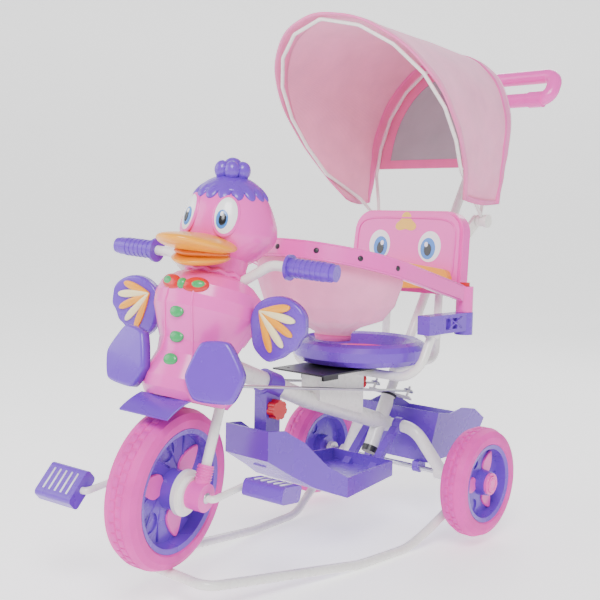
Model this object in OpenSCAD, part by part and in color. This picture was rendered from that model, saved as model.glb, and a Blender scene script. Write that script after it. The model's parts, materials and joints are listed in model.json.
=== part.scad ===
// Rocking tricycle for a toddler: steerable front wheel with a duck figure, push handle, hood and rocker base.
// Units are millimetres. +X is the rider's left, -Y is forward, +Z is up. The rocker stands on Z = 0.

/* [Wheels] */
// Outer diameter of the front tyre
front_wheel_d = 250; // [210:1:300]
// Width of the front tyre
front_tyre_w = 56; // [46:1:66]
// Outer diameter of each rear tyre
rear_wheel_d = 200; // [165:1:230]
// Width of each rear tyre
rear_tyre_w = 50; // [40:1:60]
// Distance between the middles of the rear tyres
rear_track = 392; // [370:1:470]
// Distance between the front and rear axles, along the ground
wheelbase = 583; // [540:1:700]
// Diameter of the rear axle
axle_d = 10; // [8:0.5:12]
// Diameter of the bent crank rod
crank_d = 11; // [9:0.5:13]
// Throw of each pedal crank
crank_throw = 75; // [60:1:88]

/* [Steering] */
// Lean of the steering column from upright, in degrees
rake = 17.4; // [12:0.1:22]
// Turn of the steering at rest, in degrees, towards the rider's left
steer_rest = 13.4; // [0:0.1:20]
// Half width over the two handlebar grips
grip_reach = 208; // [190:1:240]
// Radius of the duck's chest
chest_r = 87; // [80:1:100]
// Radius of the duck's head
head_r = 71; // [62:1:80]

/* [Frame] */
// Diameter of the main tube
main_tube_d = 32; // [26:1:36]
// Diameter of the arched rear tube
arch_tube_d = 24; // [20:1:27]
// Height of the arched rear tube's middle above the floor
arch_z = 199; // [190:1:215]
// Diameter of the rocker tube
rocker_tube_d = 16; // [12:1:20]
// Length of the rocker's flat middle
rocker_flat = 130; // [100:1:150]
// Lean of the push tube from upright, in degrees
push_lean = 30.5; // [25:0.5:34]
// Length of the push tube, from its foot to the handle
push_tube_l = 800; // [700:1:960]
// Diameter of the push tube
push_tube_d = 19; // [16:0.5:20]

/* [Seat] */
// Radius of the seat pan
seat_r = 125; // [110:1:130]
// Height of the underside of the seat pan above the floor
seat_z = 330; // [320:1:345]
// Half width of the backrest
back_half_w = 133; // [120:1:140]
// Height of the backrest panel
back_h = 160; // [130:1:190]
// Radius of the guard ring, to the middle of its bar
guard_r = 152; // [146:1:165]
// Height of the guard ring's bar
guard_bar_h = 28; // [18:1:32]

/* [Hood] */
// Half width of the front bow
hood_half_w = 188; // [170:1:210]
// Radius of the front bow's top, from the hood's pivots
hood_r = 457; // [400:1:490]
// Radius of the rear bow's top, from the hood's pivots
hood_rear_r = 345; // [300:1:360]
// Lean of the front bow forward from upright, in degrees
hood_front_lean = 40; // [34:1:46]
// Lean of the rear bow backward from upright, in degrees
hood_rear_lean = 15; // [5:1:20]

/* [Hidden] */
$fn = 48;

// Colours
ivory = [0.93, 0.93, 0.90];
steel = [0.70, 0.71, 0.73];
dark = [0.13, 0.13, 0.16];
purple = [0.48, 0.36, 0.80];
pink = [0.95, 0.60, 0.82];
hot_pink = [0.92, 0.22, 0.55];
cloth_pink = [0.96, 0.72, 0.82];
red = [0.80, 0.08, 0.12];
yellow = [0.96, 0.75, 0.12];

// Clearances
run = 0.05;          // radial clearance of a turning fit
gap = 0.3;           // gap between faces of pieces that move past each other
seam_r = 0.1;        // a bend's tube stands this much proud of the straight tubes it joins
seam_l = 0.5;        // the straight tubes run this far into the bends

// Places of the two axles
front_wheel_r = front_wheel_d / 2;
rear_wheel_r = rear_wheel_d / 2;
rear_y = 170;
rear_z = rear_wheel_r + 17;
front_y = rear_y - wheelbase;
rocker_back = 200;   // the rocker's flat middle is centred this far ahead of the rear axle
cross_z = 45.5;      // middle of the rocker's front crossbar
wheel_gap = 1.5;     // between the front tyre and the crossbar under it
front_z = cross_z + rocker_tube_d / 2 + wheel_gap + front_wheel_r;

// The steering column's own frame: origin in the front wheel's middle, Z along the column
axis_ahead = 7.9;    // the column's axis passes this far in front of the wheel's middle
crown_s = front_wheel_r + 27;
head_s0 = crown_s + 18;
head_tube_l = 80;
head_s1 = head_s0 + head_tube_l;
stem_r = 10;
head_tube_r = 17;
bush_wall = 3;
bush_l = 16;
flange_t = 4;
stem_top_s = crown_s + 173;
bar_s = stem_top_s + 41;
bar_r = 8;
leg_x = 58;
leg_r = 8;

// Frame tubes
main_r = main_tube_d / 2;
arch_r = arch_tube_d / 2;
arch_y = rear_y - 24;
arch_leg_x = 117;
head_mid = head_s0 + head_tube_l / 2 + 1;
sleeve_wall = 2.2;
sleeve_r = push_tube_d / 2 + 2.3 + sleeve_wall;
push_y = arch_y - arch_r - 0.4 - sleeve_r / cos(push_lean);
sleeve_low = -44;    // ends of the push tube's sleeve along its own axis, from the main tube
sleeve_high = 62;
post_l = 125;
post_w = 44;
post_y0 = rear_y - 256;
main_bend_y = rear_y - 268;
plate_t = 3;
plate_z = seat_z - plate_t;

// Seat, arms and guard
seat_y = rear_y - 116;
arm_x = 150;
arm_r = 8;
arm_y = rear_y - 145;
arm_z = plate_z - gap - arm_r;
bracket_z0 = 396;
bracket_z1 = 430;
guard_post_y = rear_y + 4;
guard_post_r = 16;
guard_post_z = 478;
guard_stem_r = 10;
guard_stem_l = 32;
guard_tilt = 14;
guard_bar_w = 14;
guard_front_y = rear_y - 351;
back_y = rear_y + 29;
back_z = 537;
back_t = 30;
back_lean = 6;

// Hood
pivot_y = rear_y + 92;
hood_ahead = 56;     // the front edge's plane passes this far ahead of the pivots
pivot_z = 600;
pivot_x = 119;
pin_r = 5;
arm_t = 7.6;
cloth_t = 3;

// Basket and footrest
basket_y0 = rear_y + 6;
basket_y1 = rear_y + 180;
basket_z0 = rear_z + 11;
basket_half_w = 104;
wall = 3;
foot_y0 = front_y + front_wheel_r + 42;
clamp_y = foot_y0 + 52;

// Helpers: vectors
function unit(v) = v / norm(v);
main_fall = 0.325;    // fall of the main tube's rear part
bend_z = arch_z + (arch_y - main_bend_y) * main_fall;
function front_fall() = (column_at(head_mid).z - bend_z) / (main_bend_y - column_at(head_mid).y);
function main_z(y) = y > main_bend_y
    ? arch_z + (arch_y - y) * main_fall : bend_z + (main_bend_y - y) * front_fall();

// A cylinder from point a to point b
module rod(a, b, r) {
    v = b - a;
    translate(a) rotate([0, acos(v.z / norm(v)), atan2(v.y, v.x)]) cylinder(r = r, h = norm(v));
}

// A round tube along points p, with bends of radius b[i] at its inner points
module bent_rod(p, r, b) {
    n = len(p);
    function turn(i) = acos(unit(p[i] - p[i - 1]) * unit(p[i + 1] - p[i]));
    function trim(i) = (i == 0 || i == n - 1) ? 0 : b[i - 1] * tan(turn(i) / 2);
    for (i = [0:n - 2]) {
        u = unit(p[i + 1] - p[i]);
        a = i == 0 ? 0 : trim(i) - seam_l;
        e = i == n - 2 ? 0 : trim(i + 1) - seam_l;
        rod(p[i] + u * a, p[i + 1] - u * e, r);
    }
    for (i = [1:n - 2]) {
        u = unit(p[i] - p[i - 1]);
        v = unit(p[i + 1] - p[i]);
        m = unit(v - (u * v) * u);
        w = cross(u, m);
        c = p[i] - u * trim(i) + m * b[i - 1];
        multmatrix([
            [-m.x, u.x, w.x, c.x], [-m.y, u.y, w.y, c.y], [-m.z, u.z, w.z, c.z], [0, 0, 0, 1]
        ]) rotate_extrude(angle = turn(i)) translate([b[i - 1], 0]) circle(r = r + seam_r);
    }
}

// A piece that lies along X, from x0 to x1
module along_x(x0, x1, r) {
    translate([x0, 0, 0]) rotate([0, 90, 0]) cylinder(r = r, h = x1 - x0);
}

module both_sides() {
    children();
    mirror([1, 0, 0]) children();
}

// Turns its children with the steering, from straight ahead to the rest turn
module steered() {
    translate([0, front_y, front_z]) rotate([-rake, 0, 0])
        translate([0, -axis_ahead, 0]) rotate([0, 0, steer_rest]) translate([0, axis_ahead, 0]) children();
}

// A wheel's round profile about X
module turned_x() {
    rotate([0, 90, 0]) rotate_extrude() children();
}

// ---- Frame -------------------------------------------------------------------------------------

module column_place() {
    translate([0, front_y, front_z]) rotate([-rake, 0, 0]) translate([0, -axis_ahead, 0]) children();
}

// Where the column's axis stands at a height s along it, in the part's frame
function column_at(s) = [
    0, front_y - axis_ahead * cos(rake) + s * sin(rake), front_z + axis_ahead * sin(rake) + s * cos(rake)
];

module push_place() {
    translate([0, push_y, arch_z]) rotate([-push_lean, 0, 0]) children();
}

module main_frame() {
    bend = [0, main_bend_y, bend_z];
    color(ivory) difference() {
        union() {
            bent_rod([column_at(head_mid), bend, [0, arch_y, arch_z]], main_r, [350]);
            column_place() translate([0, 0, head_s0]) cylinder(r = head_tube_r, h = head_tube_l);
            push_place() translate([0, 0, sleeve_low]) cylinder(r = sleeve_r, h = sleeve_high - sleeve_low);
            side_profile(post_w / 2) polygon([
                [post_y0, main_z(post_y0) + 2], [post_y0 + post_l, main_z(post_y0 + post_l) + 2],
                [post_y0 + post_l, plate_z], [post_y0, plate_z]
            ]);
        }
        column_place() translate([0, 0, head_s0 - 1]) cylinder(r = stem_r + bush_wall, h = head_tube_l + 2);
        translate([0, arm_y, arm_z]) along_x(-40, 40, arm_r + run);
        side_profile(post_w / 2 - 3) polygon([
            [post_y0 + 3, main_z(post_y0 + 3) + main_r + 3], [arm_y - 14, main_z(arm_y - 14) + main_r + 3],
            [arm_y - 14, plate_z - 4], [post_y0 + 3, plate_z - 4]
        ]);
        push_place() translate([0, 0, sleeve_low - 1])
            cylinder(r = sleeve_r - sleeve_wall, h = sleeve_high - sleeve_low + 2);
        translate([0, arch_y, arch_z]) along_x(-40, 40, arch_r + 0.1);
        translate([-40, arch_y, arch_z - 50]) cube([80, 60, 100]);
    }
}

function arch_point(x, z) = [x, arch_y + (arch_z - z) * (rear_y - arch_y) / (arch_z - rear_z), z];

module rear_arch() {
    top_x = 66;
    color(ivory) difference() {
        union() {
            bent_rod([
                arch_point(-arch_leg_x, rear_z), arch_point(-top_x, arch_z),
                arch_point(top_x, arch_z), arch_point(arch_leg_x, rear_z)
            ], arch_r, [46, 46]);
            both_sides() translate([0, rear_y, rear_z]) along_x(arch_leg_x - 13, arch_leg_x + 13, arch_r + 1);
        }
        translate([0, rear_y, rear_z]) along_x(-200, 200, axle_d / 2 + bush_wall);
        push_place() translate([0, 0, -60]) cylinder(r = sleeve_r + 0.1, h = 140);
    }
}

module rear_axle() {
    color(steel) translate([0, rear_y, rear_z])
        along_x(-rear_track / 2 - rear_tyre_w / 2 - 2, rear_track / 2 + rear_tyre_w / 2 + 2, axle_d / 2);
}

module axle_bushes() {
    color(dark) both_sides() translate([0, rear_y, rear_z]) difference() {
        union() {
            along_x(arch_leg_x - 13, arch_leg_x + 13, axle_d / 2 + bush_wall - 0.02);
            along_x(arch_leg_x + 13, arch_leg_x + 15, arch_r);
        }
        along_x(0, 200, axle_d / 2 + run);
    }
}

module head_bushes() {
    color(dark) column_place() difference() {
        for (s = [head_s0, head_s1]) {
            side = s == head_s0 ? 0 : -bush_l;
            translate([0, 0, s + side]) cylinder(r = stem_r + bush_wall, h = bush_l);
            translate([0, 0, s == head_s0 ? s - flange_t : s]) cylinder(r = head_tube_r - 1, h = flange_t);
        }
        translate([0, 0, head_s0 - 20]) cylinder(r = stem_r + run, h = head_tube_l + 40);
    }
}

module push_tube_bushes() {
    tube_r = push_tube_d / 2;
    color(dark) push_place() difference() {
        union() {
            translate([0, 0, sleeve_low]) cylinder(r = sleeve_r - sleeve_wall - 0.02, h = 18);
            translate([0, 0, sleeve_low - 12]) cylinder(r = sleeve_r + 1, h = 12);
            translate([0, 0, sleeve_high - 18]) cylinder(r = sleeve_r - sleeve_wall - 0.02, h = 18);
            translate([0, 0, sleeve_high]) cylinder(r = sleeve_r + 1, h = 5);
        }
        translate([0, 0, sleeve_low - 8]) cylinder(r = tube_r + run, h = sleeve_high - sleeve_low + 30);
    }
}

module rocker() {
    r = rocker_tube_d / 2;
    mid_y = rear_y - rocker_back;
    low = r + seam_r;
    f0 = mid_y - rocker_flat / 2;
    f1 = mid_y + rocker_flat / 2;
    eye_x = arch_leg_x + 41;
    color(ivory) difference() {
        union() {
            bent_rod([
                [-eye_x, rear_y, rear_z], [-eye_x, rear_y - 14, rear_z - 44], [-150, rear_y - 80, 38],
                [-137, f1, low], [-127, f0, low], [-84, front_y + 2, cross_z], [84, front_y + 2, cross_z],
                [127, f0, low], [137, f1, low], [150, rear_y - 80, 38],
                [eye_x, rear_y - 14, rear_z - 44], [eye_x, rear_y, rear_z]
            ], r, [30, 200, 100, 200, 28, 28, 200, 100, 200, 30]);
            both_sides() translate([0, rear_y, rear_z]) along_x(eye_x - 5, eye_x + 5, 13);
        }
        translate([0, rear_y, rear_z]) along_x(-250, 250, axle_d / 2 + run);
        both_sides() translate([0, rear_y, rear_z]) along_x(eye_x + 5, eye_x + 15, 40);
        both_sides() translate([0, rear_y, rear_z]) along_x(eye_x - 15, eye_x - 5, 14);
    }
}

// ---- Seat and arms -----------------------------------------------------------------------------

module seat_place() {
    translate([0, seat_y, seat_z]) children();
}

module seat_pan() {
    r = seat_r;
    color(purple) seat_place() rotate_extrude() polygon([
        [0, 0], [r - 43, 0], [r - 10, 6], [r, 16], [r, 32], [r - 6, 41], [r - 16, 46],
        [r - 27, 42], [r - 43, 26], [r - 60, 16], [0, 14]
    ]);
}

module seat_insert() {
    r = seat_r - 50;
    color(hot_pink) seat_place() rotate_extrude() polygon([
        [0, 14.3], [r - 12, 16.3], [r - 2, 21.2], [r - 4, 25], [r - 14, 21], [0, 19]
    ]);
}

module seat_plate() {
    color(dark) difference() {
        union() {
            translate([-60, post_y0 - 36, plate_z]) cube([120, 210, plate_t]);
            translate([-post_w / 2 - 5, post_y0 + 4, plate_z - 16]) cube([5, 40, 16]);
            translate([post_w / 2, post_y0 + 4, plate_z - 16]) cube([5, 40, 16]);
        }
        translate([0, 0, plate_z - 1]) for (x = [-40, 40], y = [post_y0 - 16, post_y0 + post_l + 30]) translate([x, y, 0])
            cylinder(r = 3, h = plate_t + 2);
    }
}

module arm_bar(r) {
    lift = 130;
    tip = [arm_x, arm_y + lift * sin(push_lean), arm_z + lift * cos(push_lean)];
    bent_rod([[-tip.x, tip.y, tip.z], [-arm_x, arm_y, arm_z], [arm_x, arm_y, arm_z], tip], r, [42, 42]);
}

module above_bracket() {
    translate([-250, -50, bracket_z0]) cube([500, 200, 100]);
}

module armrest_bar() {
    color(ivory) difference() {
        arm_bar(arm_r);
        above_bracket();
    }
}

module arm_collars() {
    color(ivory) both_sides() difference() {
        translate([arm_x, arm_y, arm_z]) rotate([-push_lean, 0, 0]) translate([0, 0, 82])
            cylinder(r = arm_r + 5, h = 40);
        translate([arm_x, arm_y, arm_z]) rotate([-push_lean, 0, 0]) translate([0, 0, 60])
            cylinder(r = arm_r + run, h = 80);
        above_bracket();
    }
}

module arm_brackets() {
    h = bracket_z1 - bracket_z0;
    y0 = arm_y + 17;
    color(purple) both_sides() difference() {
        union() {
            translate([arm_x - 13, y0, bracket_z0]) cube([26, guard_post_y - y0, h]);
            translate([arm_x, guard_post_y, bracket_z0 - 8]) cylinder(r = guard_post_r + 1, h = h + 8);
        }
        // Two pockets beside the crossed ribs of the outer face
        for (i = [0:1]) translate([arm_x + 7, y0 + 52 + i * 22, bracket_z0 + 7])
            cube([10, 16, h - 14]);
        translate([arm_x, guard_post_y, bracket_z1 - guard_stem_l - 3])
            cylinder(r = guard_stem_r + run, h = 60);
    }
}

module guard_place() {
    slope = tan(guard_tilt);
    y = guard_front_y + guard_r + guard_bar_w / 2;
    z = guard_post_z - 2 + (guard_post_y - y) * slope;
    translate([0, y, z]) rotate([-guard_tilt, 0, 0]) children();
}

module ring_outline(r, l) {
    circle(r = r, $fn = 96);
    translate([-r, 0]) square([2 * r, l]);
}

module guard_ring() {
    arm_l = 190;
    color(pink) difference() {
        union() {
            guard_place() translate([0, 0, -guard_bar_h]) linear_extrude(guard_bar_h) difference() {
                ring_outline(guard_r + guard_bar_w / 2, arm_l);
                ring_outline(guard_r - guard_bar_w / 2, arm_l + 10);
            }
            both_sides() translate([guard_r - 2, guard_post_y, bracket_z1 + gap])
                cylinder(r = guard_post_r, h = guard_post_z - bracket_z1 - gap);
            both_sides() translate([arm_x, guard_post_y, bracket_z1 - guard_stem_l])
                cylinder(r = guard_stem_r, h = guard_stem_l + 5);
        }
        both_sides() translate([arm_x, guard_post_y, guard_post_z - 10]) cylinder(r = 9 + run, h = 40);
        both_sides() translate([arm_x - 30, guard_post_y + guard_post_r, 400]) cube([60, 60, 120]);
    }
}

module guard_button(side) {
    translate([side * arm_x, guard_post_y, guard_post_z - 5.7]) cylinder(r = 9, h = 13);
}

module guard_button_left() {
    color(red) guard_button(1);
}

module guard_button_right() {
    color(red) guard_button(-1);
}

module sling_cloth() {
    t = cloth_t;
    r = guard_r - guard_bar_w / 2 - 1.3;
    y = guard_front_y + guard_r + guard_bar_w / 2;
    color(cloth_pink) intersection() {
        translate([0, y, 0]) rotate([0, 0, -185]) rotate_extrude(angle = 190) polygon([
            [34, seat_z + 50], [38, seat_z + 64], [58, seat_z + 75], [r - 40, seat_z + 90], [r - 14, seat_z + 118],
            [r, seat_z + 158], [r, seat_z + 240], [r - t, seat_z + 240], [r - t, seat_z + 159],
            [r - 14 - t, seat_z + 119], [r - 42, seat_z + 93], [57, seat_z + 78], [35, seat_z + 66],
            [31, seat_z + 50]
        ]);
        guard_place() translate([-300, -300, -400]) cube([600, 600, 400 - guard_bar_h / 2]);
    }
}

module back_place() {
    translate([0, back_y, back_z]) rotate([-back_lean, 0, 0]) rotate([90, 0, 0]) children();
}

module back_outline(inset) {
    hull() {
        both_sides() translate([back_half_w - 45, back_h / 2 - 42]) circle(r = 42 - inset, $fn = 40);
        both_sides() translate([back_half_w - 30, -back_h / 2 + 30]) circle(r = 30 - inset, $fn = 40);
    }
}

module backrest() {
    color(pink) back_place() {
        translate([0, 0, -back_t / 2]) linear_extrude(back_t - 6) back_outline(0);
        translate([0, 0, back_t / 2 - 6]) linear_extrude(6) back_outline(5);
    }
}

module backrest_bill() {
    color(yellow) back_place() translate([0, -back_h / 2 + 26, back_t / 2 + 0.05]) linear_extrude(14)
        hull() {
            both_sides() translate([back_half_w - 34, 4]) circle(r = 18, $fn = 32);
            translate([0, 6]) circle(r = 26, $fn = 32);
        }
}

module backrest_posts() {
    x = 62;
    r = 8;
    back = back_y + back_t / 2 / cos(back_lean) + r + 1;
    color(ivory) both_sides() {
        bent_rod([
            [x, seat_y + 20, plate_z - r - 1.6], [x, back - 8, plate_z + 2],
            [x, back, back_z - 40], [x, back + 12, back_z + 66]
        ], r, [24, 60]);
        rod([x + 2, back + 8.5, back_z + 38], [pivot_x - 8.3, back + 8.5, back_z + 38], r - 1);
    }
}

module hood_brackets() {
    back = back_y + back_t / 2 / cos(back_lean) + 17.5;
    color(ivory) both_sides() {
        hull() {
            translate([pivot_x - 8, back - 1, back_z + 38]) along_x(0, 7, 11, $fn = 32);
            translate([pivot_x - 8, pivot_y, pivot_z]) along_x(0, 7, 12, $fn = 32);
        }
        translate([0, pivot_y, pivot_z]) along_x(pivot_x - 2, pivot_x + 2 * arm_t + 1.5, pin_r);
        translate([0, pivot_y, pivot_z]) along_x(pivot_x + 2 * arm_t + 1.2, pivot_x + 2 * arm_t + 8, 13);
    }
}

// ---- Footrest and basket -----------------------------------------------------------------------

foot_len = rear_y - 100 - foot_y0;

function foot_y(f) = foot_y0 + f * foot_len;

module foot_plan(inset) {
    offset(delta = -inset) polygon([
        [-50, foot_y(0)], [50, foot_y(0)], [56, foot_y(0.18)], [92, foot_y(0.5)], [72, foot_y(1)],
        [-72, foot_y(1)], [-92, foot_y(0.5)], [-56, foot_y(0.18)]
    ]);
}

module side_profile(x) {
    translate([-x, 0, 0]) rotate([90, 0, 90]) linear_extrude(2 * x) children();
}

module footrest() {
    clamp_z = main_z(clamp_y);
    slope = atan(front_fall());
    hook_x = 31;
    color(purple) difference() {
        union() {
            difference() {
                intersection() {
                    side_profile(100) polygon([
                        [foot_y(0), 250], [foot_y(0.12), 246], [foot_y(0.24), 222], [foot_y(0.38), 176],
                        [foot_y(0.5), 152], [foot_y(1), 150], [foot_y(1), 122], [foot_y(0.5), 116],
                        [foot_y(0.3), 142], [foot_y(0), 200]
                    ]);
                    translate([0, 0, 50]) linear_extrude(300) foot_plan(0);
                }
                intersection() {
                    side_profile(100) polygon([
                        [foot_y(0) - 5, 270], [foot_y(1) + 5, 270], [foot_y(1) + 5, 129], [foot_y(0.5), 123],
                        [foot_y(0.3), 149], [foot_y(0), 207]
                    ]);
                    translate([0, 0, 50]) linear_extrude(300) foot_plan(wall + 1);
                }
            }
            // Tower up to the clamp round the main tube
            translate([-14, clamp_y - 20, 178]) cube([28, 34, clamp_z - 178]);
            translate([0, clamp_y, clamp_z]) rotate([90 - slope, 0, 0]) translate([0, 0, -17])
                cylinder(r = main_r + 6, h = 34);
            // Two uprights that hook over the rear arch
            both_sides() hull() {
                translate([hook_x - 8, foot_y(1) - 14, 126]) cube([16, 12, 4]);
                translate([hook_x - 8, arch_y - arch_r - 8, arch_z - 6]) cube([16, 8, 6]);
            }
            both_sides() translate([0, arch_y, arch_z]) along_x(hook_x - 8, hook_x + 8, arch_r + 4);
        }
        translate([0, clamp_y, clamp_z]) rotate([90 - slope, 0, 0]) translate([0, 0, -60])
            cylinder(r = main_r + run, h = 120);
        translate([0, arch_y, arch_z]) along_x(-hook_x - 10, hook_x + 10, arch_r + run);
        translate([-70, arch_y - 1, arch_z - 60]) cube([140, 40, 60]);
        // The knob's bolt hole through the tower
        translate([0, clamp_y - 3, clamp_z - main_r - 25]) along_x(0, 30, 3.1);
    }
}

module knob(r, h) {
    difference() {
        cylinder(r = r, h = h);
        for (a = [0:360 / 7:359]) rotate([0, 0, a]) translate([r + 3, 0, -1]) cylinder(r = 5.2, h = h + 2);
    }
}

module footrest_knob() {
    color(red) translate([14 + gap, clamp_y - 3, main_z(clamp_y) - main_r - 25]) rotate([0, 90, 0]) {
        knob(17, 16);
        translate([0, 0, -12]) cylinder(r = 3, h = 14);
    }
}

module seat_knob() {
    color(red) translate([0, post_y0 + post_l + gap, plate_z - 32]) rotate([-90, 0, 0]) {
        knob(19, 14);
        translate([0, 0, 14]) cylinder(r = 11, h = 5);
    }
}

module basket() {
    z0 = basket_z0;
    l = basket_y1 - basket_y0;
    module body(inset, low, up) {
        side_profile(140) polygon([
            [basket_y0 + inset, low], [basket_y0 + inset, z0 + 102 + up], [basket_y0 + l * 0.25, z0 + 94 + up],
            [basket_y0 + l * 0.5, z0 + 101 + up], [basket_y0 + l * 0.78, z0 + 92 + up],
            [basket_y1 - inset + 8 + up / 6, z0 + 66 + up],
            [basket_y1 - inset - 14, low]
        ]);
    }
    module taper(inset) {
        low_half = 76 - inset;
        high_half = basket_half_w + (basket_half_w - 76) * 60 / 130 - inset;
        rotate([90, 0, 0]) translate([0, 0, -rear_y - 300]) linear_extrude(400) polygon([
            [-low_half, z0 - 10], [low_half, z0 - 10], [high_half, z0 + 180], [-high_half, z0 + 180]
        ]);
    }
    color(purple) difference() {
        union() {
            difference() {
                intersection() {
                    body(0, z0, 0);
                    taper(0);
                }
                intersection() {
                    body(wall, z0 + wall, 60);
                    taper(wall);
                }
            }
            both_sides() translate([52, rear_y - 8, rear_z]) cube([14, 26, basket_z0 - rear_z + 2]);
            both_sides() translate([0, rear_y, rear_z]) along_x(52, 66, 9);
        }
        translate([0, rear_y, rear_z]) along_x(-100, 100, axle_d / 2 + run);
    }
}

// ---- Steering ----------------------------------------------------------------------------------

module fork() {
    low = 0;
    color(ivory) steered() difference() {
        union() {
            both_sides() rod([leg_x, 0, low + 22], [leg_x, 0, crown_s + 4], leg_r);
            translate([-leg_x - leg_r, -axis_ahead - 14, crown_s]) cube([2 * (leg_x + leg_r), 28, 6]);
            translate([0, -axis_ahead, crown_s]) cylinder(r = stem_r, h = stem_top_s - crown_s);
            translate([0, -axis_ahead, head_s1 + flange_t + gap]) cylinder(r = 14, h = 12);
            translate([0, -axis_ahead, stem_top_s - 12]) cylinder(r = 15, h = 24);
        }
        translate([0, -axis_ahead, stem_top_s]) along_x(-30, 30, bar_r + run);
    }
}

module handlebar() {
    color(ivory) steered() translate([0, -axis_ahead, 0]) bent_rod([
        [-grip_reach + 10, 0, bar_s], [-94, 0, bar_s], [-38, 0, stem_top_s], [38, 0, stem_top_s],
        [94, 0, bar_s], [grip_reach - 10, 0, bar_s]
    ], bar_r, [32, 30, 30, 32]);
}

module grip() {
    translate([0, -axis_ahead, bar_s]) difference() {
        union() {
            along_x(grip_reach - 83, grip_reach - 78, 20);
            along_x(grip_reach - 80, grip_reach - 8, 14.5);
            along_x(grip_reach - 16, grip_reach, 13);
            for (x = [grip_reach - 70:9:grip_reach - 20]) along_x(x, x + 4, 15.3);
        }
        along_x(0, grip_reach - 9, bar_r + run);
    }
}

module grip_left() {
    color(purple) steered() grip();
}

module grip_right() {
    color(purple) steered() mirror([1, 0, 0]) grip();
}

module steering_arm() {
    color(steel) steered() translate([0, -axis_ahead, crown_s + 6]) difference() {
        union() {
            translate([-44, -10, 0]) cube([88, 20, 3]);
            both_sides() translate([36, 0, 0]) cylinder(r = 2.5, h = 14);
        }
        translate([0, 0, -1]) cylinder(r = stem_r + run, h = 6);
    }
}

belly_s = front_wheel_r + 10;

// The duck's torso is turned about the steering column; these are its outer radii and heights
function torso(inset) = [
    [66 - inset, belly_s], [73 - inset, belly_s + 12], [75 - inset, belly_s + 30],
    [68 - inset, belly_s + 52], [63 - inset, belly_s + 68], [64 - inset, belly_s + 88],
    [chest_r - 13 - inset, belly_s + 112], [chest_r - 2 - inset, belly_s + 138],
    [chest_r - inset, belly_s + 158], [chest_r - 5 - inset, belly_s + 176],
    [chest_r - 24 - inset, belly_s + 193], [44 - inset, belly_s + 202]
];

module torso_shell() {
    outer = torso(0);
    inner = torso(3);
    n = len(inner);
    rotate_extrude() polygon(concat(outer, [for (i = [0:n - 1]) inner[n - 1 - i]]));
}

module torso_openings() {
    // Room for the fork legs, the handlebar, the main tube and the link rods
    both_sides() translate([leg_x, axis_ahead, belly_s - 40]) cylinder(r = leg_r + 1, h = 70);
    both_sides() rod([38, 0, stem_top_s], [94, 0, bar_s], bar_r + 1.5);
    window_s0 = crown_s + 2;
    window_s1 = head_s0 + 66;
    translate([0, 0, window_s0]) rotate([0, 0, 90 - 72]) rotate_extrude(angle = 144)
        translate([30, 0]) square([80, window_s1 - window_s0]);
}

module half(front) {
    translate([-150, front ? -200 : 0.1, 0]) cube([300, 200, 600]);
}

module duck_front_shell() {
    color(pink) steered() translate([0, -axis_ahead, 0]) intersection() {
        difference() {
            torso_shell();
            torso_openings();
        }
        half(true);
    }
}

module duck_rear_shell() {
    color(pink) steered() translate([0, -axis_ahead, 0]) intersection() {
        difference() {
            torso_shell();
            torso_openings();
        }
        half(false);
    }
}

head_s = belly_s + 290;

module duck_head() {
    color(pink) steered() translate([0, -axis_ahead, 0]) difference() {
        union() {
            translate([0, 0, head_s]) sphere(r = head_r, $fn = 72);
            translate([0, 0, belly_s + 202.2]) cylinder(r = 46, h = head_s - belly_s - 240);
        }
        translate([0, 0, head_s]) sphere(r = head_r - 3, $fn = 72);
        translate([0, 0, belly_s + 200]) cylinder(r = 42, h = head_s - belly_s - 230);
        both_sides() rod([38, 0, stem_top_s], [94, 0, bar_s], bar_r + 1.5);
    }
}

module duck_bill() {
    color(yellow) steered() translate([0, -axis_ahead, head_s]) rotate([rake, 0, 0]) difference() {
        union() {
            hull() {
                translate([0, -head_r - 50, -34]) cylinder(r = 30, h = 9, $fn = 32);
                both_sides() translate([36, -head_r + 6, -30]) cylinder(r = 26, h = 20, $fn = 32);
            }
            hull() {
                translate([0, -head_r - 24, -62]) cylinder(r = 26, h = 7, $fn = 32);
                both_sides() translate([22, -head_r + 22, -56]) cylinder(r = 22, h = 14, $fn = 32);
            }
            translate([0, -head_r + 20, -50]) cylinder(r = 34, h = 30);
        }
        sphere(r = head_r + 0.3, $fn = 72);
        rotate([-rake, 0, 0]) translate([0, 0, -110]) cylinder(r = 46.3, h = 80);
    }
}

module duck_crown() {
    color(purple) steered() translate([0, -axis_ahead, head_s]) rotate([rake, 0, 0]) difference() {
        union() {
            cylinder(r = 46, h = head_r - 3);
            translate([0, 0, head_r - 4]) difference() {
                cylinder(r = 23, h = 32);
                for (a = [0:40:359]) rotate([0, 0, a]) translate([25.5, 0, -1]) cylinder(r = 4.5, h = 40);
            }
        }
        sphere(r = head_r + 0.05, $fn = 72);
    }
}

module wing_outline() {
    hull() {
        translate([12, 40]) circle(r = 20, $fn = 32);
        translate([52, 44]) circle(r = 24, $fn = 32);
        translate([76, 20]) circle(r = 14, $fn = 32);
        translate([34, -30]) circle(r = 8, $fn = 32);
        translate([4, 12]) circle(r = 12, $fn = 32);
    }
}

module wings() {
    color(purple) steered() translate([0, -axis_ahead, 0]) difference() {
        both_sides() translate([chest_r + 3, 0, belly_s + 118]) rotate([90 + rake, 0, 0]) translate([0, 0, -7])
            linear_extrude(14) wing_outline();
        translate([0, 0, belly_s]) cylinder(r = chest_r + 0.1, h = 230);
    }
}

module foot_pads() {
    color(purple) steered() translate([0, -axis_ahead, 0]) difference() {
        both_sides() translate([78, -56, belly_s + 47]) rotate([0, 0, 12]) rotate([96, 0, 0])
            linear_extrude(14) polygon([[-44, -16], [-16, -42], [34, -34], [46, 10], [12, 48], [-22, 34]]);
        translate([0, 0, belly_s - 20]) cylinder(r = 75.2, h = 230);
    }
}

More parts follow.
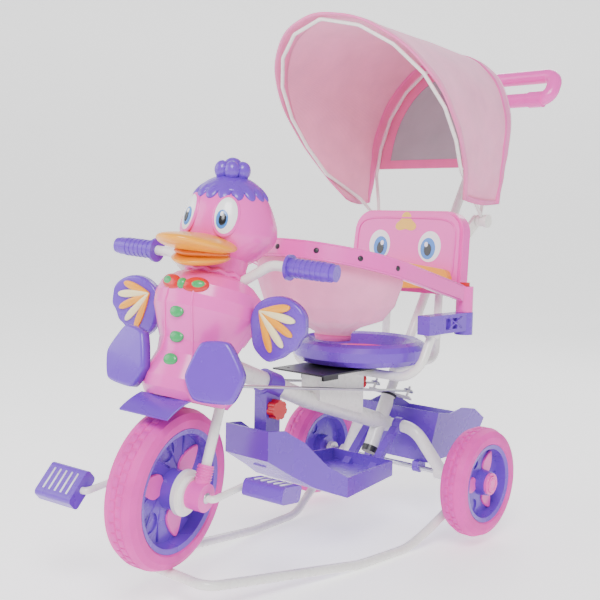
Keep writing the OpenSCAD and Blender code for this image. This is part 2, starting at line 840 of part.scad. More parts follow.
module mudguard() {
    r = front_wheel_r + 22;
    color(purple) steered() difference() {
        rotate([0, 90, 0]) rotate([0, 0, 187]) translate([0, 0, -44]) rotate_extrude(angle = 40)
            translate([r, 0]) square([3, 88]);
        both_sides() rod([leg_x, 0, 0], [leg_x, 0, crown_s + 4], leg_r + 1);
        translate([0, -axis_ahead, belly_s - gap]) cylinder(r = 76, h = 100);
    }
}

module hub_clamps() {
    color(pink) steered() both_sides() difference() {
        union() {
            along_x(45.5, 72, 22);
            translate([leg_x, 0, 0]) cylinder(r = 12, h = 48);
        }
        along_x(40, 80, crank_d / 2 + run);
        translate([leg_x, 0, 22]) cylinder(r = leg_r + run, h = 40);
    }
}

// ---- Wheels ------------------------------------------------------------------------------------

module tyre(r, w, depth) {
    c = 14;
    turned_x() polygon([
        [r - depth, -w / 2 + 3], [r - depth + 3, -w / 2], [r - c, -w / 2], [r - 4, -w / 2 + 4.5],
        [r, -w / 2 + c], [r, w / 2 - c], [r - 4, w / 2 - 4.5], [r - c, w / 2], [r - depth + 3, w / 2],
        [r - depth, w / 2 - 3]
    ]);
}

tyre_depth = 28;

module front_tyre() {
    color(pink) steered() tyre(front_wheel_r, front_tyre_w, tyre_depth);
}

// A dished rim: barrel, web and hub, bored for its axle
module rim(r, w, hub_r, hub_w, bore_r) {
    difference() {
        turned_x() polygon([
            [bore_r, -hub_w / 2], [hub_r, -hub_w / 2], [hub_r + 2, -6], [r - 12, -4], [r - 8, -w / 2 + 4],
            [r, -w / 2 + 2], [r, w / 2 - 2], [r - 8, w / 2 - 4], [r - 12, 4], [hub_r + 2, 6], [hub_r, hub_w / 2],
            [bore_r, hub_w / 2]
        ]);
        for (a = [30:120:359]) rotate([a, 0, 0]) translate([0, 0, (hub_r + r) / 2]) along_x(2, 20, (r - hub_r) / 4);
    }
}

module front_rim() {
    color(purple) steered() rim(front_wheel_r - tyre_depth - 0.05, front_tyre_w, 30, 60, crank_d / 2 + 0.02);
}

module hub_discs() {
    color(ivory) steered() both_sides() difference() {
        union() {
            along_x(30.1, 37, 36);
            along_x(37, 45.2, 27);
        }
        along_x(20, 80, crank_d / 2 + 0.02);
    }
}

crank_rise = 25;     // the left pedal stands this many degrees above level, behind the hub

module crank_axle() {
    cy = crank_throw * cos(crank_rise);
    cz = crank_throw * sin(crank_rise);
    r = crank_d / 2;
    color(ivory) steered() bent_rod([
        [-174, -cy, -cz], [-98, -cy, -cz], [-84, 0, 0], [84, 0, 0], [98, cy, cz], [174, cy, cz]
    ], r, [8, 8, 8, 8]);
}

module pedal(tilt) {
    rotate([tilt, 0, 0]) difference() {
        hull() for (y = [-22, 22], z = [-6, 6]) translate([0, y, z]) along_x(106, 177, 7.5, $fn = 32);
    }
}

module pedal_left() {
    cy = crank_throw * cos(crank_rise);
    cz = crank_throw * sin(crank_rise);
    color(purple) steered() translate([0, cy, cz]) difference() {
        pedal(8);
        along_x(80, 174.5, crank_d / 2 + run);
    }
}

module pedal_right() {
    cy = crank_throw * cos(crank_rise);
    cz = crank_throw * sin(crank_rise);
    color(purple) steered() translate([0, -cy, -cz]) difference() {
        mirror([1, 0, 0]) pedal(62);
        along_x(-174.5, -80, crank_d / 2 + run);
    }
}

module rear_place(side) {
    translate([side * rear_track / 2, rear_y, rear_z]) children();
}

module rear_tyre_left() {
    color(pink) rear_place(1) tyre(rear_wheel_r, rear_tyre_w, tyre_depth);
}

module rear_tyre_right() {
    color(pink) rear_place(-1) tyre(rear_wheel_r, rear_tyre_w, tyre_depth);
}

module rear_rim_left() {
    color(purple) rear_place(1) rim(rear_wheel_r - tyre_depth - 0.05, rear_tyre_w, 22, 48, axle_d / 2 + run);
}

module rear_rim_right() {
    color(purple) rear_place(-1) rim(rear_wheel_r - tyre_depth - 0.05, rear_tyre_w, 22, 48, axle_d / 2 + run);
}

module hub_cap() {
    difference() {
        union() {
            along_x(24.1, 29, 20);
            along_x(29, 32, 15);
        }
        along_x(0, 28, axle_d / 2 + run);
    }
}

module hub_cap_left() {
    color(pink) rear_place(1) hub_cap();
}

module hub_cap_right() {
    color(pink) rear_place(-1) mirror([1, 0, 0]) hub_cap();
}

// ---- Push handle and its links -----------------------------------------------------------------

link_x = 36;
link_s = sleeve_high + 5 + gap;      // where the push tube's plate lies along the push tube
pin_l = 24;
eye_rise = 15;        // how far the link rods' rear eyes stand above the underside of the plate

module push_tube() {
    color(ivory) push_place() {
        translate([0, 0, sleeve_low - 7]) cylinder(r = push_tube_d / 2, h = push_tube_l + 10);
        rotate([0, 0, steer_rest]) {
            translate([-link_x - 8, -5, link_s]) cube([2 * link_x + 16, 16, 3]);
            both_sides() translate([link_x, 0, link_s]) cylinder(r = 2.5, h = pin_l);
        }
    }
}

module push_handle() {
    top = push_tube_l + sleeve_low - 7;
    low = top + 18;
    high = low + 60;
    w = 132;
    color(pink) push_place() difference() {
        union() {
            translate([0, 0, top - 58]) cylinder(r = 17, h = 70);
            translate([0, 0, top - 4]) cylinder(r = 20, h = 22);
            bent_rod([
                [0, 0, low], [-w, 0, low], [-w, 0, high], [w, 0, high], [w, 0, low], [0, 0, low]
            ], 15, [24, 24, 24, 24]);
            both_sides() translate([w - 30, 0, low]) along_x(-16, 16, 17);
        }
        translate([0, 0, top - 70]) cylinder(r = push_tube_d / 2 + 0.02, h = 81);
    }
}

// The rod's two eyes: one on the steering arm's pin, one round the pin of the push tube's plate
function steer_pin(side) = column_at(crown_s + 6 + 8)
    + side * link_x * [cos(steer_rest), sin(steer_rest) * cos(rake), -sin(steer_rest) * sin(rake)];
function push_pin(side) = [0, push_y, arch_z] + (link_s + eye_rise) * [0, sin(push_lean), cos(push_lean)]
    + side * link_x * [cos(steer_rest), sin(steer_rest) * cos(push_lean), -sin(steer_rest) * sin(push_lean)];

module link_rod(side) {
    a = steer_pin(side);
    b = push_pin(side);
    u = unit(b - a);
    color(steel) {
        rod(a + u * 5, b - u * 8.5, 2.5);
        translate(a) rotate([-rake, 0, 0]) difference() {
            translate([0, 0, -2]) cylinder(r = 6, h = 4);
            translate([0, 0, -5]) cylinder(r = 2.5 + run, h = 10);
        }
        translate(b) rotate([-push_lean, 0, 0]) difference() {
            translate([0, 0, -1.5]) cylinder(r = 10, h = 3);
            translate([0, 0, -5]) cylinder(r = 7.2, h = 10);
        }
    }
}

module link_rod_left() {
    link_rod(1);
}

module link_rod_right() {
    link_rod(-1);
}

// ---- Hood --------------------------------------------------------------------------------------

// Half outlines of the two edges of the hood, from its lower corner (f = 0) to its top (f = 1).
// Each gives the distance to the side and the distance from the pivots.
front_mid_r = 250;
rear_mid_r = 150;
function front_edge(f) = f < 0.42
    ? let (r = 50 + (front_mid_r - 50) * f / 0.42) [hood_half_w - 48 * pow((front_mid_r - r) / 200, 2), r]
    : let (t = 90 * (f - 0.42) / 0.58) [hood_half_w * cos(t), front_mid_r + (hood_r - front_mid_r) * sin(t)];
function rear_edge(f) = f < 0.42
    ? [hood_half_w - 31, 35 + (rear_mid_r - 35) * f / 0.42]
    : let (t = 90 * (f - 0.42) / 0.58) [(hood_half_w - 31) * cos(t), rear_mid_r + (hood_rear_r - rear_mid_r) * sin(t)];
function at_lean(p, lean) = [p[0], pivot_y - (lean > 0 ? hood_ahead : 0) - p[1] * sin(lean), pivot_z + p[1] * cos(lean)];
function mirrored(p) = [-p.x, p.y, p.z];
// A point of the cover: v runs from the left lower corner (0) over the top (0.5) to the right one (1)
function cover_half(u, f) = (1 - u) * at_lean(front_edge(f), hood_front_lean)
    + u * at_lean(rear_edge(f), -hood_rear_lean) + [0, 0, 4 * u * (1 - u) * (12 * f - 6)];
function cover_point(u, v) = v <= 0.5 ? cover_half(u, 2 * v) : mirrored(cover_half(u, 2 - 2 * v));
function toward_inside(p, d) = p - d * unit([p.x, 0.2 * (p.y - pivot_y), p.z - pivot_z - 60]);

module hood_cover() {
    nu = 6;
    nv = 28;
    outer = [for (i = [0:nu], j = [0:nv]) cover_point(i / nu, j / nv)];
    inner = [for (p = outer) toward_inside(p, cloth_t)];
    m = len(outer);
    w = nv + 1;
    faces = concat(
        [for (i = [0:nu - 1], j = [0:nv - 1], k = [0:1]) k == 0
            ? [i * w + j, (i + 1) * w + j, (i + 1) * w + j + 1]
            : [i * w + j, (i + 1) * w + j + 1, i * w + j + 1]],
        [for (i = [0:nu - 1], j = [0:nv - 1], k = [0:1]) k == 0
            ? [m + i * w + j, m + (i + 1) * w + j + 1, m + (i + 1) * w + j]
            : [m + i * w + j, m + i * w + j + 1, m + (i + 1) * w + j + 1]],
        [for (j = [0:nv - 1], k = [0:1]) k == 0 ? [j, j + 1, m + j + 1] : [j, m + j + 1, m + j]],
        [for (j = [0:nv - 1], k = [0:1]) k == 0
            ? [nu * w + j, m + nu * w + j + 1, nu * w + j + 1] : [nu * w + j, m + nu * w + j, m + nu * w + j + 1]],
        [for (i = [0:nu - 1], k = [0:1]) k == 0
            ? [i * w, m + (i + 1) * w, (i + 1) * w] : [i * w, m + i * w, m + (i + 1) * w]],
        [for (i = [0:nu - 1], k = [0:1]) k == 0
            ? [i * w + nv, (i + 1) * w + nv, m + (i + 1) * w + nv]
            : [i * w + nv, m + (i + 1) * w + nv, m + i * w + nv]]
    );
    color(cloth_pink) polyhedron(points = concat(outer, inner), faces = faces, convexity = 6);
}

module hood_back_panel() {
    inset = cloth_t + 6;
    outline = [for (f = [0.28:0.06:0.97]) let (e = rear_edge(f)) [e[0] * (1 - inset / hood_half_w), e[1] - inset * f]];
    pts = concat(outline, [for (i = [1:len(outline)]) let (p = outline[len(outline) - i]) [-p[0], p[1]]]);
    color(cloth_pink) translate([0, pivot_y, pivot_z]) rotate([-hood_rear_lean, 0, 0]) rotate([90, 0, 0])
        linear_extrude(2) polygon(pts);
}

// A bow's points on one side, from its arm to its top, inset from the edge of the cover
bow_r = 3.5;
function bow_point(edge, i, lean) = at_lean([max(edge[0] - i * min(1, edge[0] / 60), 0), edge[1] - i], lean);

module bow(q) {
    n = len(q);
    bent_rod(concat(q, [for (i = [1:n - 1]) mirrored(q[n - 1 - i])]), bow_r,
        concat([for (i = [1:2 * n - 3]) i < 3 || i > 2 * n - 5 ? 14 : 22]));
}

module hood_arm(x) {
    translate([0, pivot_y, pivot_z]) difference() {
        along_x(x, x + arm_t - gap, 11);
        along_x(x - 1, x + arm_t + 1, pin_r + run);
    }
}

module hood_front_bow() {
    x = pivot_x + arm_t + gap;
    color(ivory) {
        both_sides() hood_arm(x);
        bow(concat([[x + 3.65, pivot_y - 6, pivot_z + 8], [x + 9, pivot_y - 46, pivot_z + 40]],
            [for (f = [0.16, 0.3, 0.44, 0.57, 0.7, 0.83]) bow_point(front_edge(f), 9.9, hood_front_lean)],
            [bow_point([0, hood_r], 9.9, hood_front_lean)]));
    }
}

module hood_rear_bow() {
    x = pivot_x;
    color(ivory) {
        both_sides() hood_arm(x);
        bow(concat([[x + 3.65, pivot_y, pivot_z + 9], [x + 8, pivot_y + 3, pivot_z + 40]],
            [for (f = [0.25, 0.44, 0.57, 0.7, 0.83]) bow_point(rear_edge(f), 11, 3 - hood_rear_lean)],
            [bow_point([0, hood_rear_r], 11, 3 - hood_rear_lean)]));
    }
}

main_frame();
rear_arch();
rear_axle();
axle_bushes();
head_bushes();
push_tube_bushes();
rocker();
seat_pan();
seat_insert();
seat_plate();
armrest_bar();
arm_collars();
arm_brackets();
backrest();
backrest_bill();
backrest_posts();
hood_brackets();
footrest();
basket();
seat_knob();
footrest_knob();
fork();
handlebar();
grip_left();
grip_right();
duck_front_shell();
duck_rear_shell();
duck_head();
duck_bill();
duck_crown();
wings();
foot_pads();
mudguard();
hub_clamps();
steering_arm();
front_tyre();
front_rim();
crank_axle();
hub_discs();
pedal_left();
pedal_right();
rear_tyre_left();
rear_tyre_right();
rear_rim_left();
rear_rim_right();
hub_cap_left();
hub_cap_right();
push_tube();
push_handle();
link_rod_left();
link_rod_right();
hood_rear_bow();
hood_back_panel();
hood_front_bow();
hood_cover();
guard_ring();
sling_cloth();
guard_button_left();
guard_button_right();
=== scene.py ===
import math
import json
import bpy
import bmesh
from mathutils import Matrix, Vector


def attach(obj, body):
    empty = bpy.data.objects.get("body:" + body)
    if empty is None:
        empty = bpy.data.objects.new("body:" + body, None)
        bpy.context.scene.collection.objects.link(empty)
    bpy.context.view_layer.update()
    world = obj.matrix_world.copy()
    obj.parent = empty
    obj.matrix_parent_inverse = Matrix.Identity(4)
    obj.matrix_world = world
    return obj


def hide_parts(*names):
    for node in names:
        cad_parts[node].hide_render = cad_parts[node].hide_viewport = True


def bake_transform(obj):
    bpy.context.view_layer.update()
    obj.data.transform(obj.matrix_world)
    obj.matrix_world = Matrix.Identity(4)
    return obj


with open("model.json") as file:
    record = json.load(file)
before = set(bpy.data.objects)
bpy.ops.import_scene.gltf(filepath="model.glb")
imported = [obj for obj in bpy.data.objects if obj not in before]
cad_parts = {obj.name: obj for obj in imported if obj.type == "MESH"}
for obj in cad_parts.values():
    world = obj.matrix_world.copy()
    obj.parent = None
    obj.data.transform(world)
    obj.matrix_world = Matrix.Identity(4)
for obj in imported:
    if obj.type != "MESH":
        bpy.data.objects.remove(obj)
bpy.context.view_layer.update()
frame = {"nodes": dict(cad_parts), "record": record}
nodes = frame["nodes"]
TAU = 2 * math.pi


# ---------------------------------------------------------------- materials
def principled(mat):
    """The node tree of a new material and its shader."""
    mat.use_nodes = True
    return mat.node_tree, mat.node_tree.nodes["Principled BSDF"]


def coords(tree, scale):
    """Positions on the object, in metres, stretched by scale."""
    tc = tree.nodes.new("ShaderNodeTexCoord")
    mp = tree.nodes.new("ShaderNodeMapping")
    mp.inputs["Scale"].default_value = scale
    tree.links.new(tc.outputs["Object"], mp.inputs["Vector"])
    return mp.outputs["Vector"]


def noise(tree, vec, scale, detail=4.0, rough=0.55):
    n = tree.nodes.new("ShaderNodeTexNoise")
    n.inputs["Scale"].default_value = scale
    n.inputs["Detail"].default_value = detail
    n.inputs["Roughness"].default_value = rough
    tree.links.new(vec, n.inputs["Vector"])
    return n.outputs["Fac"]


def ramp(tree, fac, stops):
    """A colour that changes with fac; stops are pairs of a place and a colour."""
    r = tree.nodes.new("ShaderNodeValToRGB")
    while len(r.color_ramp.elements) < len(stops):
        r.color_ramp.elements.new(0.5)
    for e, (p, c) in zip(r.color_ramp.elements, stops):
        e.position = p
        e.color = (*c, 1)
    tree.links.new(fac, r.inputs["Fac"])
    return r.outputs["Color"]


def remap(tree, fac, lo, hi):
    """fac from 0 to 1 taken to lo to hi."""
    m = tree.nodes.new("ShaderNodeMapRange")
    m.inputs["To Min"].default_value = lo
    m.inputs["To Max"].default_value = hi
    tree.links.new(fac, m.inputs["Value"])
    return m.outputs["Result"]


def bump(tree, bsdf, fac, strength, distance):
    b = tree.nodes.new("ShaderNodeBump")
    b.inputs["Strength"].default_value = strength
    b.inputs["Distance"].default_value = distance
    tree.links.new(fac, b.inputs["Height"])
    tree.links.new(b.outputs["Normal"], bsdf.inputs["Normal"])


def shade(c, k):
    """The colour c, k times as bright."""
    return tuple(max(0.0, min(1.0, v * k)) for v in c)


def plastic(name, c, rough=0.32, sss=0.05, grain=0.10):
    """Moulded plastic: nearly even colour, a soft gloss and a fine grain."""
    mat = bpy.data.materials.new(name)
    tree, b = principled(mat)
    v = coords(tree, (1, 1, 1))
    cloudy = noise(tree, v, 9.0)
    col = ramp(tree, cloudy, [(0.3, shade(c, 0.97)), (0.7, shade(c, 1.02))])
    tree.links.new(col, b.inputs["Base Color"])
    tree.links.new(remap(tree, noise(tree, v, 24.0), rough - 0.015, rough + 0.02), b.inputs["Roughness"])
    b.inputs["Subsurface Weight"].default_value = sss
    b.inputs["Subsurface Radius"].default_value = (0.01, 0.006, 0.006)
    b.inputs["Subsurface Scale"].default_value = 0.3
    b.inputs["Coat Weight"].default_value = 0.15
    b.inputs["Coat Roughness"].default_value = 0.2
    bump(tree, b, noise(tree, v, 700.0, 2.0), grain, 0.0004)
    return mat


def paint(name, c):
    """Enamel on steel tube, with a little orange peel."""
    mat = bpy.data.materials.new(name)
    tree, b = principled(mat)
    v = coords(tree, (1, 1, 1))
    col = ramp(tree, noise(tree, v, 14.0), [(0.3, shade(c, 0.93)), (0.75, shade(c, 1.03))])
    tree.links.new(col, b.inputs["Base Color"])
    tree.links.new(remap(tree, noise(tree, v, 90.0), 0.2, 0.36), b.inputs["Roughness"])
    b.inputs["Coat Weight"].default_value = 0.4
    b.inputs["Coat Roughness"].default_value = 0.12
    bump(tree, b, noise(tree, v, 260.0, 3.0), 0.12, 0.0005)
    return mat


def steel(name, c):
    """Bare bright steel, drawn along X."""
    mat = bpy.data.materials.new(name)
    tree, b = principled(mat)
    v = coords(tree, (1, 18, 18))
    tree.links.new(ramp(tree, noise(tree, v, 40.0), [(0.3, shade(c, 0.8)), (0.7, c)]), b.inputs["Base Color"])
    b.inputs["Metallic"].default_value = 1.0
    tree.links.new(remap(tree, noise(tree, v, 120.0), 0.22, 0.42), b.inputs["Roughness"])
    return mat


def foam(name, c):
    """Foamed tyre: matt, with fine pores."""
    mat = bpy.data.materials.new(name)
    tree, b = principled(mat)
    v = coords(tree, (1, 1, 1))
    col = ramp(tree, noise(tree, v, 26.0), [(0.25, shade(c, 0.84)), (0.75, shade(c, 1.05))])
    tree.links.new(col, b.inputs["Base Color"])
    tree.links.new(remap(tree, noise(tree, v, 40.0), 0.5, 0.7), b.inputs["Roughness"])
    b.inputs["Subsurface Weight"].default_value = 0.08
    b.inputs["Subsurface Scale"].default_value = 0.2
    bump(tree, b, noise(tree, v, 420.0, 4.0, 0.7), 0.35, 0.0008)
    return mat


def cloth(name, c, weave=900.0, alpha=1.0):
    """Woven cloth with a sheen; alpha under 1 is a see-through net."""
    mat = bpy.data.materials.new(name)
    tree, b = principled(mat)
    v = coords(tree, (1, 1, 1))
    waves = []
    for axis in ("X", "Z"):
        w = tree.nodes.new("ShaderNodeTexWave")
        w.bands_direction = axis
        w.inputs["Scale"].default_value = weave / 6
        w.inputs["Distortion"].default_value = 0.6
        tree.links.new(v, w.inputs["Vector"])
        waves.append(w.outputs["Fac"])
    threads = tree.nodes.new("ShaderNodeMath")
    threads.operation = "ADD"
    tree.links.new(waves[0], threads.inputs[0])
    tree.links.new(waves[1], threads.inputs[1])
    soft = noise(tree, v, 16.0)
    col = ramp(tree, soft, [(0.3, shade(c, 0.9)), (0.72, shade(c, 1.05))])
    tree.links.new(col, b.inputs["Base Color"])
    b.inputs["Roughness"].default_value = 0.78
    b.inputs["Sheen Weight"].default_value = 0.35
    b.inputs["Sheen Roughness"].default_value = 0.5
    bump(tree, b, threads.outputs[0], 0.18, 0.0006)
    if alpha < 1:
        b.inputs["Alpha"].default_value = alpha
    else:
        b.inputs["Subsurface Weight"].default_value = 0.1
        b.inputs["Subsurface Scale"].default_value = 0.2
    return mat


M = {
    "ivory_paint": paint("ivory_paint", (0.86, 0.85, 0.81)),
    "ivory_plastic": plastic("ivory_plastic", (0.87, 0.85, 0.82)),
    "bright_steel": steel("bright_steel", (0.72, 0.73, 0.75)),
    "dark_plastic": plastic("dark_plastic", (0.018, 0.018, 0.024), 0.42, 0.0),
    "purple_plastic": plastic("purple_plastic", (0.145, 0.035, 0.52), 0.27),
    "pink_plastic": plastic("pink_plastic", (0.88, 0.085, 0.50), 0.24),
    "hot_pink_plastic": plastic("hot_pink_plastic", (0.78, 0.015, 0.26), 0.3),
    "pink_foam": foam("pink_foam", (0.80, 0.04, 0.42)),
    "red_plastic": plastic("red_plastic", (0.6, 0.008, 0.014), 0.24),
    "yellow_plastic": plastic("yellow_plastic", (0.92, 0.36, 0.002), 0.28),
    "pink_cloth": cloth("pink_cloth", (0.90, 0.27, 0.50)),
}
band = cloth("hot_pink_band", (0.84, 0.10, 0.42))
rose = cloth("rose_band", (0.88, 0.17, 0.44))
feather = plastic("feather_cream", (0.93, 0.80, 0.42), 0.28)
mesh_grey = cloth("mesh_grey", (0.35, 0.33, 0.37), 1800.0, 0.72)
green = plastic("green_plastic", (0.02, 0.36, 0.10), 0.25)
white = plastic("white_plastic", (0.88, 0.88, 0.9), 0.18)
black = plastic("black_plastic", (0.008, 0.008, 0.01), 0.2, 0.0)
blue = plastic("blue_plastic", (0.04, 0.22, 0.68), 0.2)
mouth = plastic("orange_plastic", (0.75, 0.16, 0.01), 0.35)
gold = plastic("gold_print", (0.86, 0.52, 0.06), 0.4)

slot_of = {s["node"]: s["material_slot"] for s in frame["record"]["subparts"]}
for name, obj in nodes.items():
    mat = M[slot_of[name]]
    if obj.material_slots:
        for s in obj.material_slots:
            s.material = mat
    else:
        obj.data.materials.append(mat)

# ---------------------------------------------------------------- helpers
# Sizes of the CAD model that the trim is built round, in metres
REAR_X, REAR_Y, REAR_Z = 0.196, 0.170, 0.117        # the middle of the left rear wheel
REAR_R, REAR_W, FRONT_R, FRONT_W = 0.100, 0.050, 0.125, 0.056   # radius and width of the tyres
WHEELBASE = 0.583
FRONT_Y, FRONT_Z = REAR_Y - WHEELBASE, 0.180
RAKE, REST = math.radians(17.4), math.radians(13.4)  # lean of the column, and turn of the steering at rest
AHEAD = 0.0079                                       # the column's axis passes this far ahead of the hub
STEER = (
    Matrix.Translation((0, FRONT_Y, FRONT_Z)) @ Matrix.Rotation(-RAKE, 4, "X")
    @ Matrix.Translation((0, -AHEAD, 0)) @ Matrix.Rotation(REST, 4, "Z") @ Matrix.Translation((0, AHEAD, 0))
)
BELLY, HEAD = 0.135, 0.425                           # heights along the column, from the hub
COLUMN = STEER @ Matrix.Translation((0, -AHEAD, 0))
UPRIGHT_HEAD = COLUMN @ Matrix.Translation((0, 0, HEAD)) @ Matrix.Rotation(RAKE, 4, "X")


def mesh_object(name, bm, mat, place=Matrix(), smooth=True):
    """The mesh as an object of the scene, at its place and with one material."""
    me = bpy.data.meshes.new(name)
    bmesh.ops.recalc_face_normals(bm, faces=bm.faces)
    bm.to_mesh(me)
    bm.free()
    me.transform(place)
    for p in me.polygons:
        p.use_smooth = smooth
    o = bpy.data.objects.new(name, me)
    bpy.context.scene.collection.objects.link(o)
    me.materials.append(mat)
    return o


def new(name, bm, mat, place, body, smooth=True):
    """A piece that rides on a body, with one material."""
    o = mesh_object(name, bm, mat, place, smooth)
    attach(o, body)
    return o


def stitch(bm, low, high):
    """Faces between two closed loops of as many vertices."""
    n = len(low)
    for k in range(n):
        bm.faces.new((low[k], low[(k + 1) % n], high[(k + 1) % n], high[k]))


def thick_sheet(bm, top, low):
    """Faces over two grids of vertices and round their rim."""
    rows, cols = len(top) - 1, len(top[0]) - 1
    for i in range(rows):
        for j in range(cols):
            bm.faces.new((top[i][j], top[i][j + 1], top[i + 1][j + 1], top[i + 1][j]))
            bm.faces.new((low[i][j], low[i + 1][j], low[i + 1][j + 1], low[i][j + 1]))
        bm.faces.new((top[i][0], top[i + 1][0], low[i + 1][0], low[i][0]))
        bm.faces.new((top[i][cols], low[i][cols], low[i + 1][cols], top[i + 1][cols]))
    for j in range(cols):
        bm.faces.new((top[0][j], low[0][j], low[0][j + 1], top[0][j + 1]))
        bm.faces.new((top[rows][j], top[rows][j + 1], low[rows][j + 1], low[rows][j]))


def circle(r, n, z=0.0):
    """n points of a circle round Z."""
    return [(r * math.cos(TAU * k / n), r * math.sin(TAU * k / n), z) for k in range(n)]


def ball(name, mat, place, body, scale, seg=40):
    """An ellipsoid; scale is its three half sizes."""
    bm = bmesh.new()
    bmesh.ops.create_uvsphere(bm, u_segments=seg, v_segments=seg // 2, radius=1.0)
    bmesh.ops.scale(bm, vec=scale, verts=bm.verts)
    return new(name, bm, mat, place, body)


def sweep(name, mat, pts, r, body, closed=False, place=Matrix(), seg=12):
    """A tube round the points."""
    bm = bmesh.new()
    pts = [Vector(p) for p in pts]
    n = len(pts)
    rings = []
    up = Vector((0.13, 0.21, 0.97)).normalized()
    for i, p in enumerate(pts):
        a = pts[(i - 1) % n] if closed or i > 0 else p
        b = pts[(i + 1) % n] if closed or i < n - 1 else p
        t = (b - a).normalized()
        x = up.cross(t).normalized()
        y = t.cross(x)
        rings.append([bm.verts.new(p + x * u + y * v) for u, v, _ in circle(r, seg)])
    for i in range(n if closed else n - 1):
        stitch(bm, rings[i], rings[(i + 1) % n])
    if not closed:
        bm.faces.new(rings[0])
        bm.faces.new(rings[-1])
    return new(name, bm, mat, place, body)


def plate(name, mat, outline, t, place, body, bev=0.0012):
    """A flat plate, t thick towards +Z, with its top edge bevelled."""
    bm = bmesh.new()
    face = bm.faces.new([bm.verts.new((x, y, 0)) for x, y in outline])
    out = bmesh.ops.extrude_face_region(bm, geom=[face])
    raised = [g for g in out["geom"] if isinstance(g, bmesh.types.BMVert)]
    bmesh.ops.translate(bm, vec=(0, 0, t), verts=raised)
    if bev:
        edges = [e for e in bm.edges if all(abs(v.co.z - t) < 1e-7 for v in e.verts)]
        bmesh.ops.bevel(bm, geom=edges, offset=bev, segments=2, affect="EDGES")
    return new(name, bm, mat, place, body, smooth=False)


def ellipse(rx, ry, n=36, cx=0.0, cy=0.0):
    """n points of an ellipse round (cx, cy)."""
    return [(cx + rx * math.cos(TAU * i / n), cy + ry * math.sin(TAU * i / n)) for i in range(n)]


def facing(origin, normal, up=Vector((0, 0, 1))):
    """A place whose Z points along normal and whose Y is as near up as can be."""
    z = Vector(normal).normalized()
    x = Vector(up).cross(z).normalized()
    y = z.cross(x)
    m = Matrix((x, y, z)).transposed().to_4x4()
    m.translation = Vector(origin)
    return m


# ---------------------------------------------------------------- tyres
def tread(body, place, radius, width, count, name):
    """Rounded blocks round a tyre in brick order, in one mesh."""
    bm = bmesh.new()
    rows = 4
    w = width * 0.82 / rows
    step = TAU * radius / count
    for row in range(rows):
        for i in range(count):
            a = TAU * (i + 0.5 * (row % 2)) / count
            x = (row - (rows - 1) / 2) * w
            shoulder = {0: -1, rows - 1: 1}.get(row, 0)
            drop = 0.0035 * abs(shoulder)
            m = (
                Matrix.Rotation(a, 4, "X")
                @ Matrix.Translation((x, 0, radius - 0.0006 - drop))
                @ Matrix.Rotation(0.45 * shoulder, 4, "Y")
                @ Matrix.Diagonal((w * 0.86, step * 0.84, 0.0036, 1))
            )
            made = bmesh.ops.create_cube(bm, size=1.0, matrix=m)
            edges = {e for v in made["verts"] for e in v.link_edges}
            bmesh.ops.bevel(bm, geom=list(edges), offset=0.0009, segments=1, affect="EDGES")
    new(name, bm, M["pink_foam"], place, body)


def petals(body, place, radius, name):
    """Three petals on the outer face of a rim of this radius."""
    size, face_x = radius * 0.30, 0.0046
    outline = [
        (math.sin(TAU * k / 28) * size * (0.62 + 0.28 * math.cos(TAU * k / 28)), -math.cos(TAU * k / 28) * size)
        for k in range(28)
    ]
    for i in range(3):
        turned = place @ Matrix.Rotation(math.radians(90 + 120 * i), 4, "X")
        m = turned @ Matrix.Translation((0, 0, radius * 0.56)) @ facing((face_x, 0, 0), (1, 0, 0))
        plate(f"{name}_{i}", M["pink_plastic"], outline, 0.004, m, body)


def outward(side):
    """Turns a piece made for the left side to face the side it is on."""
    return Matrix() if side > 0 else Matrix.Rotation(math.pi, 4, "Z")


tread("front_wheel", STEER, FRONT_R, FRONT_W, 46, "front_tread")
for side, body in ((1, "rear_wheel_l"), (-1, "rear_wheel_r")):
    hub = Matrix.Translation((side * REAR_X, REAR_Y, REAR_Z))
    tread(body, hub, REAR_R, REAR_W, 38, f"rear_tread_{body[-1]}")
    petals(body, hub @ outward(side), 0.072, f"rear_petals_{body[-1]}")
    for k, ring_r in enumerate((0.0165, 0.011)):
        ring = [(0.0292 + 0.003 * k, y, z) for y, z, _ in circle(ring_r, 40)]
        sweep(f"cap_ring_{body[-1]}_{k}", M["pink_plastic"], ring, 0.0012, body, True,
              hub @ outward(side), 8)
for s in (1, -1):
    petals("front_wheel", STEER @ outward(s), 0.097, f"front_petals_{s}")
    for i in range(12):
        # a rib curls outwards: its radius and how far it has turned by there
        rib = [
            (0.0052, r * math.cos(TAU * i / 12 + a), r * math.sin(TAU * i / 12 + a))
            for r, a in ((0.036, 0.0), (0.058, 0.35), (0.082, 0.5))
        ]
        sweep(f"rib_{s}_{i}", M["purple_plastic"], rib, 0.0016, "front_wheel", False,
              STEER @ outward(s), 8)

# ---------------------------------------------------------------- duck: head, face and top-knot
HEAD_R = 0.0712


def head_point(d):
    """Where the direction d from the head's middle meets its skin: full cheeks, a narrower brow."""
    across = 1 + 0.17 * math.exp(-(((d.z + 0.34) / 0.42) ** 2)) - 0.04 * max(0.0, d.z)
    along = 1 + 0.05 * math.exp(-(((d.z + 0.3) / 0.5) ** 2))
    return Vector((d.x * across, d.y * along, d.z * 1.04)) * HEAD_R


def on_head(az, el, out=0.0):
    """A point on the head and its outward direction; az 0 is forward, positive towards +X."""
    def at(a, e):
        return head_point(Vector((math.sin(a) * math.cos(e), -math.cos(a) * math.cos(e), math.sin(e))))
    p = at(az, el)
    step = 0.01
    across, upward = at(az + step, el) - at(az - step, el), at(az, el + step) - at(az, el - step)
    n = across.cross(upward).normalized()
    if n.dot(p) < 0:
        n = -n
    return p + n * out, n


